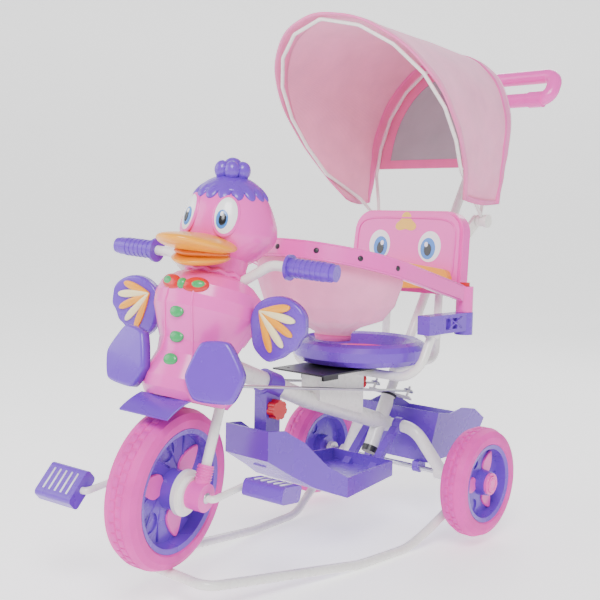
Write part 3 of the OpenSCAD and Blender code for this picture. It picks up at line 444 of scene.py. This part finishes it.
bm = bmesh.new()
bmesh.ops.create_uvsphere(bm, u_segments=96, v_segments=56, radius=1.0)
for v in bm.verts:
    v.co = head_point(v.co.normalized())
head = new("head_skin", bm, M["pink_plastic"], UPRIGHT_HEAD, "steering")
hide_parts("duck_head")


def lathe(name, mat, rows, place, body, seg=64):
    """A round piece about its own Z, from rows of (radius, height)."""
    bm = bmesh.new()
    rings = [[bm.verts.new(p) for p in circle(r, seg, z)] for r, z in rows]
    for low, high in zip(rings, rings[1:]):
        stitch(bm, low, high)
    bm.faces.new(rings[0])
    bm.faces.new(rings[-1])
    return new(name, bm, mat, place, body)


neck_rows = [(0.046, 0.3372), (0.0455, 0.345), (0.0445, 0.358), (0.046, 0.372), (0.050, 0.384)]
lathe("neck", M["pink_plastic"], neck_rows, COLUMN, "steering")
# the layers of an eye: name, material, slot, offset towards the bill, up and out, and half sizes
EYE_LAYERS = (
    ("rim", M["pink_plastic"], "pink_plastic", (0, 0, -0.003), (0.0215, 0.0335, 0.0058)),
    ("white", white, None, (0, 0, -0.0022), (0.0190, 0.0305, 0.0066)),
    ("iris", blue, None, (0.003, -0.005, 0.0006), (0.0118, 0.0185, 0.0046)),
    ("pupil", black, None, (0.0035, -0.007, 0.0026), (0.0072, 0.0115, 0.0034)),
    ("light", white, None, (0.006, 0.0005, 0.0050), (0.0026, 0.0040, 0.0014)),
)
for s in (1, -1):
    p, d = on_head(s * 0.50, 0.20)
    m = UPRIGHT_HEAD @ facing(p, d) @ Matrix.Rotation(-s * 0.10, 4, "Z")
    for layer, mat, mat_slot, (x, y, z), half in EYE_LAYERS:
        ball(f"eye_{layer}_{s}", mat, m @ Matrix.Translation((-s * x, y, z)), "steering", half)


def spoon(name, mat, mid, size, tip_up, sag):
    """A soft bill half: wide at the cheeks, rounded and turned up at the tip."""
    bm = bmesh.new()
    bmesh.ops.create_uvsphere(bm, u_segments=64, v_segments=24, radius=1.0)
    for v in bm.verts:
        x, y, z = v.co
        t = (1 - y) / 2
        w = 1.0 - 0.36 * max(0.0, t - 0.45) ** 1.3
        lift = tip_up * t ** 3 - sag * (x ** 2) * (1 - t) + 0.004 * max(0.0, t - 0.5) * abs(x)
        v.co = Vector((x * size[0] * w, y * size[1], z * size[2] + lift)) + Vector(mid)
    return new(name, bm, mat, UPRIGHT_HEAD, "steering")


yellow = M["yellow_plastic"]
bill = spoon("bill_upper", yellow, (0, -0.088, -0.030), (0.060, 0.072, 0.0145), 0.011, 0.010)
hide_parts("duck_bill")
spoon("bill_lower", yellow, (0, -0.074, -0.054), (0.045, 0.050, 0.0100), -0.004, -0.006)
spoon("bill_inside", mouth, (0, -0.072, -0.0445), (0.044, 0.046, 0.0090), 0.0, 0.0)

# a cap that follows the head, and the round lobes of its top-knot
CAP_LOW, CAP_ROWS, CAP_SEG, CAP_OUT = 0.74, 12, 64, 0.0032
bm = bmesh.new()
turns = [TAU * k / CAP_SEG for k in range(CAP_SEG)]
rows = [[bm.verts.new(on_head(a, CAP_LOW, -0.002)[0]) for a in turns]]
for i in range(CAP_ROWS):
    level = CAP_LOW + (math.pi / 2 - CAP_LOW) * i / CAP_ROWS
    rows.append([bm.verts.new(on_head(a, level, CAP_OUT)[0]) for a in turns])
pole = bm.verts.new(head_point(Vector((0, 0, 1))) + Vector((0, 0, CAP_OUT)))
for low_row, high_row in zip(rows, rows[1:]):
    stitch(bm, low_row, high_row)
for k in range(CAP_SEG):
    bm.faces.new((rows[-1][k], rows[-1][(k + 1) % CAP_SEG], pole))
bm.faces.new(rows[0])
crown = new("crown_cap", bm, M["purple_plastic"], UPRIGHT_HEAD, "steering")
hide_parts("duck_crown")
outer_lobes = [(p, (0.0125, 0.0125, 0.0150)) for p in circle(0.0185, 6, 0.0835)]
for i, (p, half) in enumerate(outer_lobes + [((0, 0, 0.0905), (0.0150, 0.0150, 0.0135))]):
    ball(f"knot_lobe_{i}", M["purple_plastic"], UPRIGHT_HEAD @ Matrix.Translation(p), "steering", half,
         32)
# scalloped fringe under the crown
for i in range(16):
    a = TAU * i / 16
    p, d = on_head(a, 0.76, -0.001)
    ball(f"fringe_{i}", M["purple_plastic"], UPRIGHT_HEAD @ facing(p, d), "steering", (0.0105, 0.016, 0.005),
         24)
# nostrils
for s in (1, -1):
    m = UPRIGHT_HEAD @ Matrix.Translation((s * 0.010, -0.112, -0.0148))
    ball(f"nostril_{s}", mouth, m, "steering", (0.0026, 0.0046, 0.0014))


# ---------------------------------------------------------------- duck: chest, wings and feet
# height along the column and radius of the chest
TORSO = [(0.135, 0.066), (0.147, 0.073), (0.165, 0.075), (0.187, 0.068), (0.203, 0.063), (0.223, 0.064),
         (0.247, 0.074), (0.273, 0.085), (0.293, 0.087), (0.311, 0.082), (0.328, 0.063)]


def torso_r(s):
    """The chest's radius at a height along the column."""
    for (a, ra), (b, rb) in zip(TORSO, TORSO[1:]):
        if a <= s <= b:
            return ra + (rb - ra) * (s - a) / (b - a)
    return 0.06


# three oval buttons, a bow and a collar on the chest
for k, s in enumerate((0.262, 0.226, 0.190)):
    r = torso_r(s)
    ball(f"button_{k}", green, COLUMN @ facing((0, -r, s), (0, -1, 0.05)), "steering", (0.0125, 0.0095, 0.005))
for s in (1, -1):
    m = COLUMN @ facing((s * 0.022, -0.080, 0.305), (s * 0.25, -1, 0.12)) @ Matrix.Rotation(s * 0.2, 4, "Z")
    ball(f"bow_{s}", M["red_plastic"], m, "steering", (0.021, 0.0125, 0.007))
    ball(f"bow_inner_{s}", green, m @ Matrix.Translation((s * 0.004, 0, 0.003)), "steering", (0.012, 0.007, 0.0055))
ball("bow_knot", green, COLUMN @ facing((0, -0.084, 0.304), (0, -1, 0.1)), "steering", (0.008, 0.009, 0.007))
collar = [(x, y, 0.3375 + 0.002 * math.sin(12 * TAU * i / 60)) for i, (x, y, _) in enumerate(circle(0.0475, 60))]
sweep("collar_0", M["pink_plastic"], collar, 0.0045, "steering", True, COLUMN)
# raised waistcoat line down the chest
for s in (1, -1):
    pts = []
    for k in range(22):
        z = 0.150 + 0.156 * k / 21
        a = s * (0.26 + 0.42 * (1 - k / 21) ** 1.6)
        r = torso_r(z) + 0.0004
        pts.append((r * math.sin(a), -r * math.cos(a), z))
    sweep(f"waistcoat_{s}", M["pink_plastic"], pts, 0.0017, "steering", False, COLUMN, 8)


def rounded(pts, times=3, cut=0.25):
    """An outline with its corners cut off again and again; cut is the first cut's share of a side."""
    for _ in range(times):
        out = []
        for i in range(len(pts)):
            a, b = Vector(pts[i]), Vector(pts[(i + 1) % len(pts)])
            out += [tuple(a.lerp(b, cut)), tuple(a.lerp(b, 1 - cut))]
        pts, cut = out, 0.25
    return pts


def pillow(name, mat, outline, t, place, body, rings=5, inset=0.0045):
    """A plate with its edges rolled over on the +Z side."""
    bm = bmesh.new()
    n = len(outline)
    mid = sum((Vector(p) for p in outline), Vector((0, 0))) / n
    loops = [[bm.verts.new((x, y, 0)) for x, y in outline]]
    for k in range(rings + 1):
        a = math.pi / 2 * k / rings
        z = t - inset + inset * math.sin(a)
        drawn_in = [Vector(p) - (Vector(p) - mid).normalized() * inset * (1 - math.cos(a)) for p in outline]
        loops.append([bm.verts.new((*p, z)) for p in drawn_in])
    for low, high in zip(loops, loops[1:]):
        stitch(bm, low, high)
    bm.faces.new(loops[0])
    crest = bm.verts.new((*mid, t + 0.0015))
    for i in range(n):
        bm.faces.new((loops[-1][i], loops[-1][(i + 1) % n], crest))
    return new(name, bm, mat, place, body)


# wings: a purple shoulder with scalloped feather tips, and cream and yellow feathers laid on it
wing_shape = [
    (0.000, 0.006), (0.004, -0.016), (0.020, -0.030), (0.034, -0.036), (0.046, -0.030), (0.056, -0.026),
    (0.066, -0.016), (0.078, -0.010), (0.084, 0.006), (0.093, 0.014), (0.092, 0.030), (0.090, 0.046),
    (0.074, 0.060), (0.050, 0.068), (0.024, 0.064), (0.004, 0.050), (-0.004, 0.028)
]
FEATHERS = ((-68, 0.066), (-48, 0.068), (-28, 0.068), (-8, 0.064), (12, 0.054))   # direction in degrees, length
for s in (1, -1):
    base = COLUMN @ Matrix.Translation((s * 0.090, 0, BELLY + 0.118)) @ Matrix.Rotation(math.pi / 2 + RAKE, 4, "X")
    if s < 0:
        base = base @ Matrix.Diagonal((-1, 1, 1, 1))
    wing = pillow(f"wing_{s}", M["purple_plastic"], rounded(wing_shape, 2), 0.014,
                  base @ Matrix.Translation((0, 0, -0.007)), "steering")
    if s > 0:
        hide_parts("wings")
    root = Vector((0.014, 0.042))
    for k, (degrees, length) in enumerate(FEATHERS):
        d = Vector((math.cos(math.radians(degrees)), math.sin(math.radians(degrees))))
        side = Vector((-d.y, d.x))
        pts = []
        for i in range(20):
            t = TAU * i / 20
            along = (1 - math.cos(t)) / 2
            wide = math.sin(t) * (0.35 + 0.65 * along)
            pts.append(tuple(root + d * along * length + side * wide * 0.0085))
        cream = k % 2 == 1
        m = base @ Matrix.Translation((0, 0, 0.0068 if cream else 0.0064))
        pillow(f"feather_{s}_{k}", feather if cream else yellow, pts, 0.0042, m, "steering",
               3, 0.0016)
# webbed feet: flat pads with rounded corners
pad_corners = [(-0.046, -0.012), (-0.024, -0.046), (0.038, -0.040), (0.050, 0.006), (0.014, 0.052), (-0.030, 0.044)]
pad_shape = rounded(pad_corners, 4, 0.13)
for s in (1, -1):
    m = COLUMN @ Matrix.Diagonal((s, 1, 1, 1)) @ Matrix.Translation((0.078, -0.056, BELLY + 0.047))
    m = m @ Matrix.Rotation(math.radians(12), 4, "Z") @ Matrix.Rotation(math.radians(96), 4, "X")
    p = pillow(f"foot_{s}", M["purple_plastic"], pad_shape, 0.016, m, "steering", 6, 0.006)
    if s > 0:
        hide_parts("foot_pads")
# scalloped collar round the shoulders
for i in range(13):
    a = TAU * (i + 0.5) / 13
    d = Vector((math.sin(a), -math.cos(a), 0))
    m = COLUMN @ facing(d * 0.066 + Vector((0, 0, 0.3175)), d + Vector((0, 0, 1.0)))
    ball(f"collar_lobe_{i}", M["pink_plastic"], m, "steering", (0.0165, 0.020, 0.0042), 28)

# ---------------------------------------------------------------- pedals
THROW, RISE = 0.075, math.radians(25)
for s, tilt, body in ((1, 8, "left_pedal"), (-1, 62, "right_pedal")):
    m = STEER @ Matrix.Translation((0, s * THROW * math.cos(RISE), s * THROW * math.sin(RISE)))
    m = m @ Matrix.Rotation(math.radians(tilt), 4, "X")
    for f in (1, -1):
        for i in range(5):
            x = s * (0.1415 + (i - 2) * 0.0115)
            rib = [(x, -0.018, f * 0.0135), (x, 0.018, f * 0.0135)]
            sweep(f"pedal_rib_{body}_{f}_{i}", white, rib, 0.0016, body, False, m, 8)

# ---------------------------------------------------------------- backrest face
UPRIGHT = Matrix.Rotation(math.pi / 2, 4, "X")
BACK = Matrix.Translation((0, REAR_Y + 0.029, 0.537)) @ Matrix.Rotation(-math.radians(6), 4, "X") @ UPRIGHT
FACE = BACK @ Matrix.Translation((0, 0, 0.015))
for s in (1, -1):
    m = FACE @ Matrix.Translation((s * 0.060, 0.010, 0))
    plate(f"back_eye_{s}", white, ellipse(0.026, 0.030), 0.0006, m, "frame", 0.0002)
    plate(f"back_iris_{s}", blue, ellipse(0.017, 0.021, 32, -s * 0.003, -0.004), 0.0011, m, "frame", 0.0002)
    plate(f"back_pupil_{s}", black, ellipse(0.0085, 0.012, 28, -s * 0.003, -0.006), 0.0015, m, "frame", 0.0002)
    plate(f"back_light_{s}", white, ellipse(0.004, 0.005, 20, -s * 0.007, 0.004), 0.0019, m, "frame", 0.0002)
    ball(f"back_screw_{s}", M["bright_steel"], FACE @ Matrix.Translation((s * 0.076, -0.052, 0.0146)), "frame",
         (0.006, 0.006, 0.0024), 24)
tuft = []
for i in range(36):
    a = TAU * i / 36
    r = 0.017 * (1 + 0.28 * math.cos(3 * a + math.pi / 2))
    tuft.append((r * math.cos(a) * 1.25, 0.055 + r * math.sin(a)))
plate("back_tuft", gold, tuft, 0.0007, FACE, "frame", 0.0002)
smile = [(-0.085 + 0.17 * i / 20, -0.046 - 0.008 * math.sin(math.pi * i / 20), 0.0146) for i in range(21)]
sweep("back_smile", mouth, smile, 0.0014, "frame", False, FACE, 8)
# raised border round the back panel
border = []
for i in range(80):
    a = TAU * i / 80
    across, upward = math.cos(a), math.sin(a)
    x = 0.117 * math.copysign(abs(across) ** 0.35, across)
    y = 0.065 * math.copysign(abs(upward) ** 0.35, upward)
    border.append((x, y, 0.0152))
sweep("back_border", M["pink_plastic"], border, 0.0018, "frame", True, BACK, 8)

# ---------------------------------------------------------------- soft goods
PIVOT = Vector((0, REAR_Y + 0.092, 0.600))           # the hood's tilt axis
LEAN_FRONT, LEAN_REAR = math.radians(40), math.radians(15)   # how far the bows lean forwards and back
LEG = 0.42                                           # the share of half an edge that is the straight leg
FRONT_HALF_W, REAR_HALF_W = 0.188, 0.157


def front_edge(f):
    """Half of the front edge in its own plane, from the leg's foot at 0 to the crown at 1."""
    if f < LEG:
        r = 0.05 + 0.2 * f / LEG
        return FRONT_HALF_W - 0.048 * ((0.25 - r) / 0.2) ** 2, r
    t = math.radians(90 * (f - LEG) / (1 - LEG))
    return FRONT_HALF_W * math.cos(t), 0.25 + 0.207 * math.sin(t)


def rear_edge(f):
    """Half of the rear edge, in the same way."""
    if f < LEG:
        return REAR_HALF_W, 0.035 + 0.115 * f / LEG
    t = math.radians(90 * (f - LEG) / (1 - LEG))
    return REAR_HALF_W * math.cos(t), 0.15 + 0.195 * math.sin(t)


def cover_point(u, v):
    """A point of the hood: u from the front edge to the rear one, v from foot to foot."""
    f = 2 * v if v <= 0.5 else 2 - 2 * v
    a, b = front_edge(f), rear_edge(f)
    p = Vector((a[0], PIVOT.y - 0.056 - a[1] * math.sin(LEAN_FRONT), PIVOT.z + a[1] * math.cos(LEAN_FRONT)))
    q = Vector((b[0], PIVOT.y + b[1] * math.sin(LEAN_REAR), PIVOT.z + b[1] * math.cos(LEAN_REAR)))
    m = p.lerp(q, u)
    m.z += 4 * u * (1 - u) * (0.012 * f - 0.006)
    if v > 0.5:
        m.x = -m.x
    return m


def inward(p, d):
    """p moved d towards the inside of the hood."""
    n = Vector((p.x, 0.2 * (p.y - PIVOT.y), p.z - PIVOT.z - 0.06)).normalized()
    return p - n * d


def cover(name, u0, u1, nu, nv, lift, thick, mat, v0=0.0, v1=1.0, sag=0.0):
    """Part of the hood's cloth from u0 to u1, lift above the CAD surface, closed and thick."""
    def at(i, j, d):
        u, v = u0 + (u1 - u0) * i / nu, v0 + (v1 - v0) * j / nv
        hang = sag * math.sin(math.pi * u) * (0.6 + 0.4 * math.cos(11 * v * math.pi))
        wrinkle = 0.0009 * math.sin(37 * v + 9 * u) * math.sin(math.pi * u) + 0.0006 * math.sin(71 * v - 14 * u)
        return inward(cover_point(u, v), d - lift + hang + wrinkle)

    bm = bmesh.new()
    top = [[bm.verts.new(at(i, j, 0)) for j in range(nv + 1)] for i in range(nu + 1)]
    low = [[bm.verts.new(at(i, j, thick)) for j in range(nv + 1)] for i in range(nu + 1)]
    thick_sheet(bm, top, low)
    o = mesh_object(name, bm, mat)
    start, end = tuple(cover_point(0.02, 0.5)), tuple(cover_point(0.9, 0.5))
    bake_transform(o)
    return o


hood = cover("hood_cloth", 0.0, 1.0, 36, 110, 0.0, 0.0022, M["pink_cloth"], sag=0.003)
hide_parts("hood_cover")
for k, (a, b) in enumerate(((-0.003, 0.085), (0.915, 1.003))):
    cover(f"hood_hem_{k}", a, b, 4, 110, 0.0016, 0.0046, band if k else rose)
for k, v in enumerate((0.0, 0.985)):
    cover(f"hood_side_hem_{k}", 0.06, 0.94, 24, 2, 0.0012, 0.0038, rose, v, v + 0.015)

# window panel at the back: mesh cloth with a hot pink frame
REAR_PLANE = Matrix.Translation(PIVOT) @ Matrix.Rotation(-LEAN_REAR, 4, "X") @ UPRIGHT
MARGIN = 0.009                                       # the panel stops this far inside the rear edge
outline = []
for i in range(18):
    f = 0.28 + 0.04 * i
    x, y = rear_edge(f)
    outline.append((x * (1 - MARGIN / FRONT_HALF_W), y - MARGIN * f))
outline += [(-x, y) for x, y in reversed(outline)]


def flat_ring(name, inner_k, mat, z0, t):
    """A frame of cloth between the panel's outline and a copy of it, inner_k times the size."""
    mid_y = 0.20
    inner = [(x * inner_k, mid_y + (y - mid_y) * inner_k) for x, y in outline]
    bm = bmesh.new()
    outer_low, outer_top, inner_low, inner_top = (
        [bm.verts.new((x, y, z)) for x, y in ring] for ring in (outline, inner) for z in (z0, z0 + t)
    )
    for a, b in ((outer_top, inner_top), (inner_low, outer_low), (outer_low, outer_top), (inner_top, inner_low)):
        stitch(bm, a, b)
    return new(name, bm, mat, REAR_PLANE, "hood_rear", smooth=False)


net_place = REAR_PLANE @ Matrix.Translation((0, 0, 0.0004))
net = plate("hood_window", mesh_grey, outline, 0.0012, net_place, "hood_rear", 0)
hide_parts("hood_back_panel")
net_frame = flat_ring("hood_window_frame", 0.80, band, -0.0006, 0.0032)
area = abs(sum(x0 * y1 - x1 * y0 for (x0, y0), (x1, y1) in zip(outline, outline[1:] + outline[:1]))) / 2

# the sling: a soft bowl hung in the ring, with piping round its hem
GY = REAR_Y - 0.351 + 0.152 + 0.007                  # the middle of the ring
TILT = math.radians(14)
GZ = 0.478 - 0.002 + (REAR_Y + 0.004 - GY) * math.tan(TILT)
GUARD = Matrix.Translation((0, GY, GZ)) @ Matrix.Rotation(-TILT, 4, "X")
SLING_R = 0.1422                                     # at the ring
# radius and height of the bowl, from the lower hem up
profile = [(0.0330, 0.380), (0.0365, 0.395), (0.0575, 0.4065), (0.1027, 0.4215), (0.1282, 0.4485), (SLING_R, 0.4885)]
ACROSS, DOWN, SWEPT = 96, 30, 186                    # cells of the sling, and degrees that it goes round


def sling_point(t, ang, d):
    """t from 0 at the lower hem to 1 at the ring; d is the distance inward from the mid surface."""
    y0 = GY + SLING_R * math.sin(ang)
    top = GZ - (0.014 + (y0 - GY) * math.sin(TILT)) / math.cos(TILT)
    pts = profile + [(SLING_R, top)]
    lens = [math.dist(p, q) for p, q in zip(pts, pts[1:])]
    want = t * sum(lens)
    for (p, q), l in zip(zip(pts, pts[1:]), lens):
        if want <= l or q == pts[-1]:
            k = min(1.0, want / l)
            break
        want -= l
    r, z = p[0] + (q[0] - p[0]) * k, p[1] + (q[1] - p[1]) * k
    nr, nz = (q[1] - p[1]) / l, -(q[0] - p[0]) / l
    fold = (0.0010 * math.sin(13 * ang + 3 * t) + 0.0006 * math.sin(29 * ang - 9 * t)) * math.sin(math.pi * t)
    r, z = r - (d + fold) * nr, z - (d + fold) * nz
    return Vector((r * math.cos(ang), GY + r * math.sin(ang), z))


def sling_turn(j):
    """The direction of the sling's column j, which may be between two columns."""
    return math.radians(-183 + SWEPT * j / ACROSS)


def sling_piece(name, t1, rows, thick, mat):
    """The sling from its lower hem to t1."""
    def grid(d):
        return [
            [bm.verts.new(sling_point(t1 * i / rows, sling_turn(j), d)) for j in range(ACROSS + 1)]
            for i in range(rows + 1)
        ]

    bm = bmesh.new()
    outside, inside = grid(-thick / 2), grid(thick / 2)
    thick_sheet(bm, outside, inside)
    return new(name, bm, mat, Matrix(), "guard")


def sling_cell(i, j):
    """The area of one cell of the sling's mid surface."""
    across = sling_point((i + 0.5) / DOWN, sling_turn(j + 1), 0) - sling_point((i + 0.5) / DOWN, sling_turn(j), 0)
    down = sling_point((i + 1) / DOWN, sling_turn(j + 0.5), 0) - sling_point(i / DOWN, sling_turn(j + 0.5), 0)
    return across.length * down.length


sling = sling_piece("sling", 1.0, DOWN, 0.0022, M["pink_cloth"])
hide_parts("sling_cloth")
hem = sling_piece("sling_hem", 0.05, 2, 0.0046, band)
area = sum(sling_cell(i, j) for i in range(DOWN) for j in range(ACROSS))
for k in range(7):
    a = math.radians(-90 + (k - 3) * 27)
    p = Vector((0.159 * math.cos(a), 0.159 * math.sin(a), -0.014))
    d = Vector((math.cos(a), math.sin(a), 0))
    ball(f"snap_{k}", M["dark_plastic"], GUARD @ facing(p, d), "guard", (0.0048, 0.0048, 0.0022), 24)
BEAD_R = 0.1585
for z in (-0.0006, -0.0274):
    arc = [(BEAD_R * math.cos(math.radians(a)), BEAD_R * math.sin(math.radians(a)), z) for a in range(-180, 1, 4)]
    pts = [(-BEAD_R, 0.18, z)] + arc + [(BEAD_R, 0.18, z)]
    sweep(f"guard_bead_{z}", M["pink_plastic"], pts, 0.0018, "guard", False, GUARD, 8)

# crossed ribs on the arm brackets
for s in (1, -1):
    x = s * 0.1632
    for z0, z1 in ((0.404, 0.424), (0.424, 0.404)):
        pts = [(x, REAR_Y - 0.066, z0), (x, REAR_Y - 0.024, z1)]
        sweep(f"bracket_rib_{s}_{z0}", M["purple_plastic"], pts, 0.0016, "frame", False, Matrix(), 8)

# screws and ribs on the hub clamps
for s in (1, -1):
    ball(f"clamp_screw_{s}", M["bright_steel"], STEER @ facing((s * 0.0722, 0, 0), (s, 0, 0)), "steering",
         (0.0085, 0.0085, 0.003), 24)
    for k in range(5):
        pts = [(s * 0.058 + x, y, z) for x, y, z in circle(0.0125, 32, 0.027 + 0.0042 * k)]
        sweep(f"clamp_rib_{s}_{k}", M["pink_plastic"], pts, 0.0011, "steering", True, STEER, 8)

# ---------------------------------------------------------------- stage, light, camera
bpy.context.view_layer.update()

floor_mat = bpy.data.materials.new("floor")
tree, b = principled(floor_mat)
whites = [(0.3, (0.94, 0.94, 0.945)), (0.7, (0.96, 0.96, 0.96))]
tree.links.new(ramp(tree, noise(tree, coords(tree, (1, 1, 1)), 3.0), whites), b.inputs["Base Color"])
b.inputs["Roughness"].default_value = 0.7
b.inputs["Emission Color"].default_value = (1, 1, 1, 1)
b.inputs["Emission Strength"].default_value = 0.75
# a flat floor that bends up into the backdrop
BEND_Y, BEND_R = 4.0, 2.0
bend = [(BEND_Y + BEND_R * math.sin(a), BEND_R - BEND_R * math.cos(a)) for a in map(math.radians, range(10, 91, 10))]
bm = bmesh.new()
rows = [[bm.verts.new((x, y, z)) for x in (-9, 9)] for y, z in [(-6.0, 0.0), (BEND_Y, 0.0), *bend, (6.0, 8.0)]]
for near, far in zip(rows, rows[1:]):
    bm.faces.new((near[0], near[1], far[1], far[0]))
me = bpy.data.meshes.new("floor")
bm.to_mesh(me)
bm.free()
for p in me.polygons:
    p.use_smooth = True
floor = bpy.data.objects.new("floor", me)
me.materials.append(floor_mat)
bpy.context.scene.collection.objects.link(floor)
floor.rotation_euler = (0, 0, math.radians(41.75))
floor.location = (0, 0, -0.0003)


def area_light(name, loc, target, power, w, h, col=(1, 1, 1)):
    """A lamp at loc that points at target, w by h metres."""
    d = bpy.data.lights.new(name, "AREA")
    d.energy = power
    d.shape = "RECTANGLE"
    d.size, d.size_y = w, h
    d.color = col
    o = bpy.data.objects.new(name, d)
    bpy.context.scene.collection.objects.link(o)
    o.location = loc
    o.rotation_euler = (Vector(target) - Vector(loc)).to_track_quat("-Z", "Y").to_euler()


area_light("key", (1.5, -1.9, 2.4), (0, 0, 0.45), 95, 1.3, 1.3)
area_light("fill", (-1.9, -2.0, 1.5), (0, 0, 0.45), 42, 2.2, 1.8, (0.97, 0.98, 1))
area_light("rim", (-0.8, 2.2, 2.2), (0, 0, 0.6), 30, 1.6, 1.2)
world = bpy.data.worlds.new("world")
bpy.context.scene.world = world
world.use_nodes = True
background = world.node_tree.nodes["Background"]
background.inputs["Color"].default_value = (1, 1, 1, 1)
background.inputs["Strength"].default_value = 0.62

cam_data = bpy.data.cameras.new("camera")
cam = bpy.data.objects.new("camera", cam_data)
bpy.context.scene.collection.objects.link(cam)
az, el, roll = (math.radians(a) for a in (41.7506, 4.9516, 1.2547))
right = Vector((math.cos(az), math.sin(az), 0))
back = Vector((math.sin(az) * math.cos(el), -math.cos(az) * math.cos(el), math.sin(el)))
up = back.cross(right)
cam_x = right * math.cos(roll) + up * math.sin(roll)
cam_y = -right * math.sin(roll) + up * math.cos(roll)
m = Matrix((cam_x, cam_y, back)).transposed().to_4x4()
m.translation = Vector((1.1002, -1.1512 - 0.201, 0.599))
cam.matrix_world = m
cam_data.lens = 57.06
cam_data.sensor_width = 36
cam_data.clip_end = 60
bpy.context.scene.camera = cam
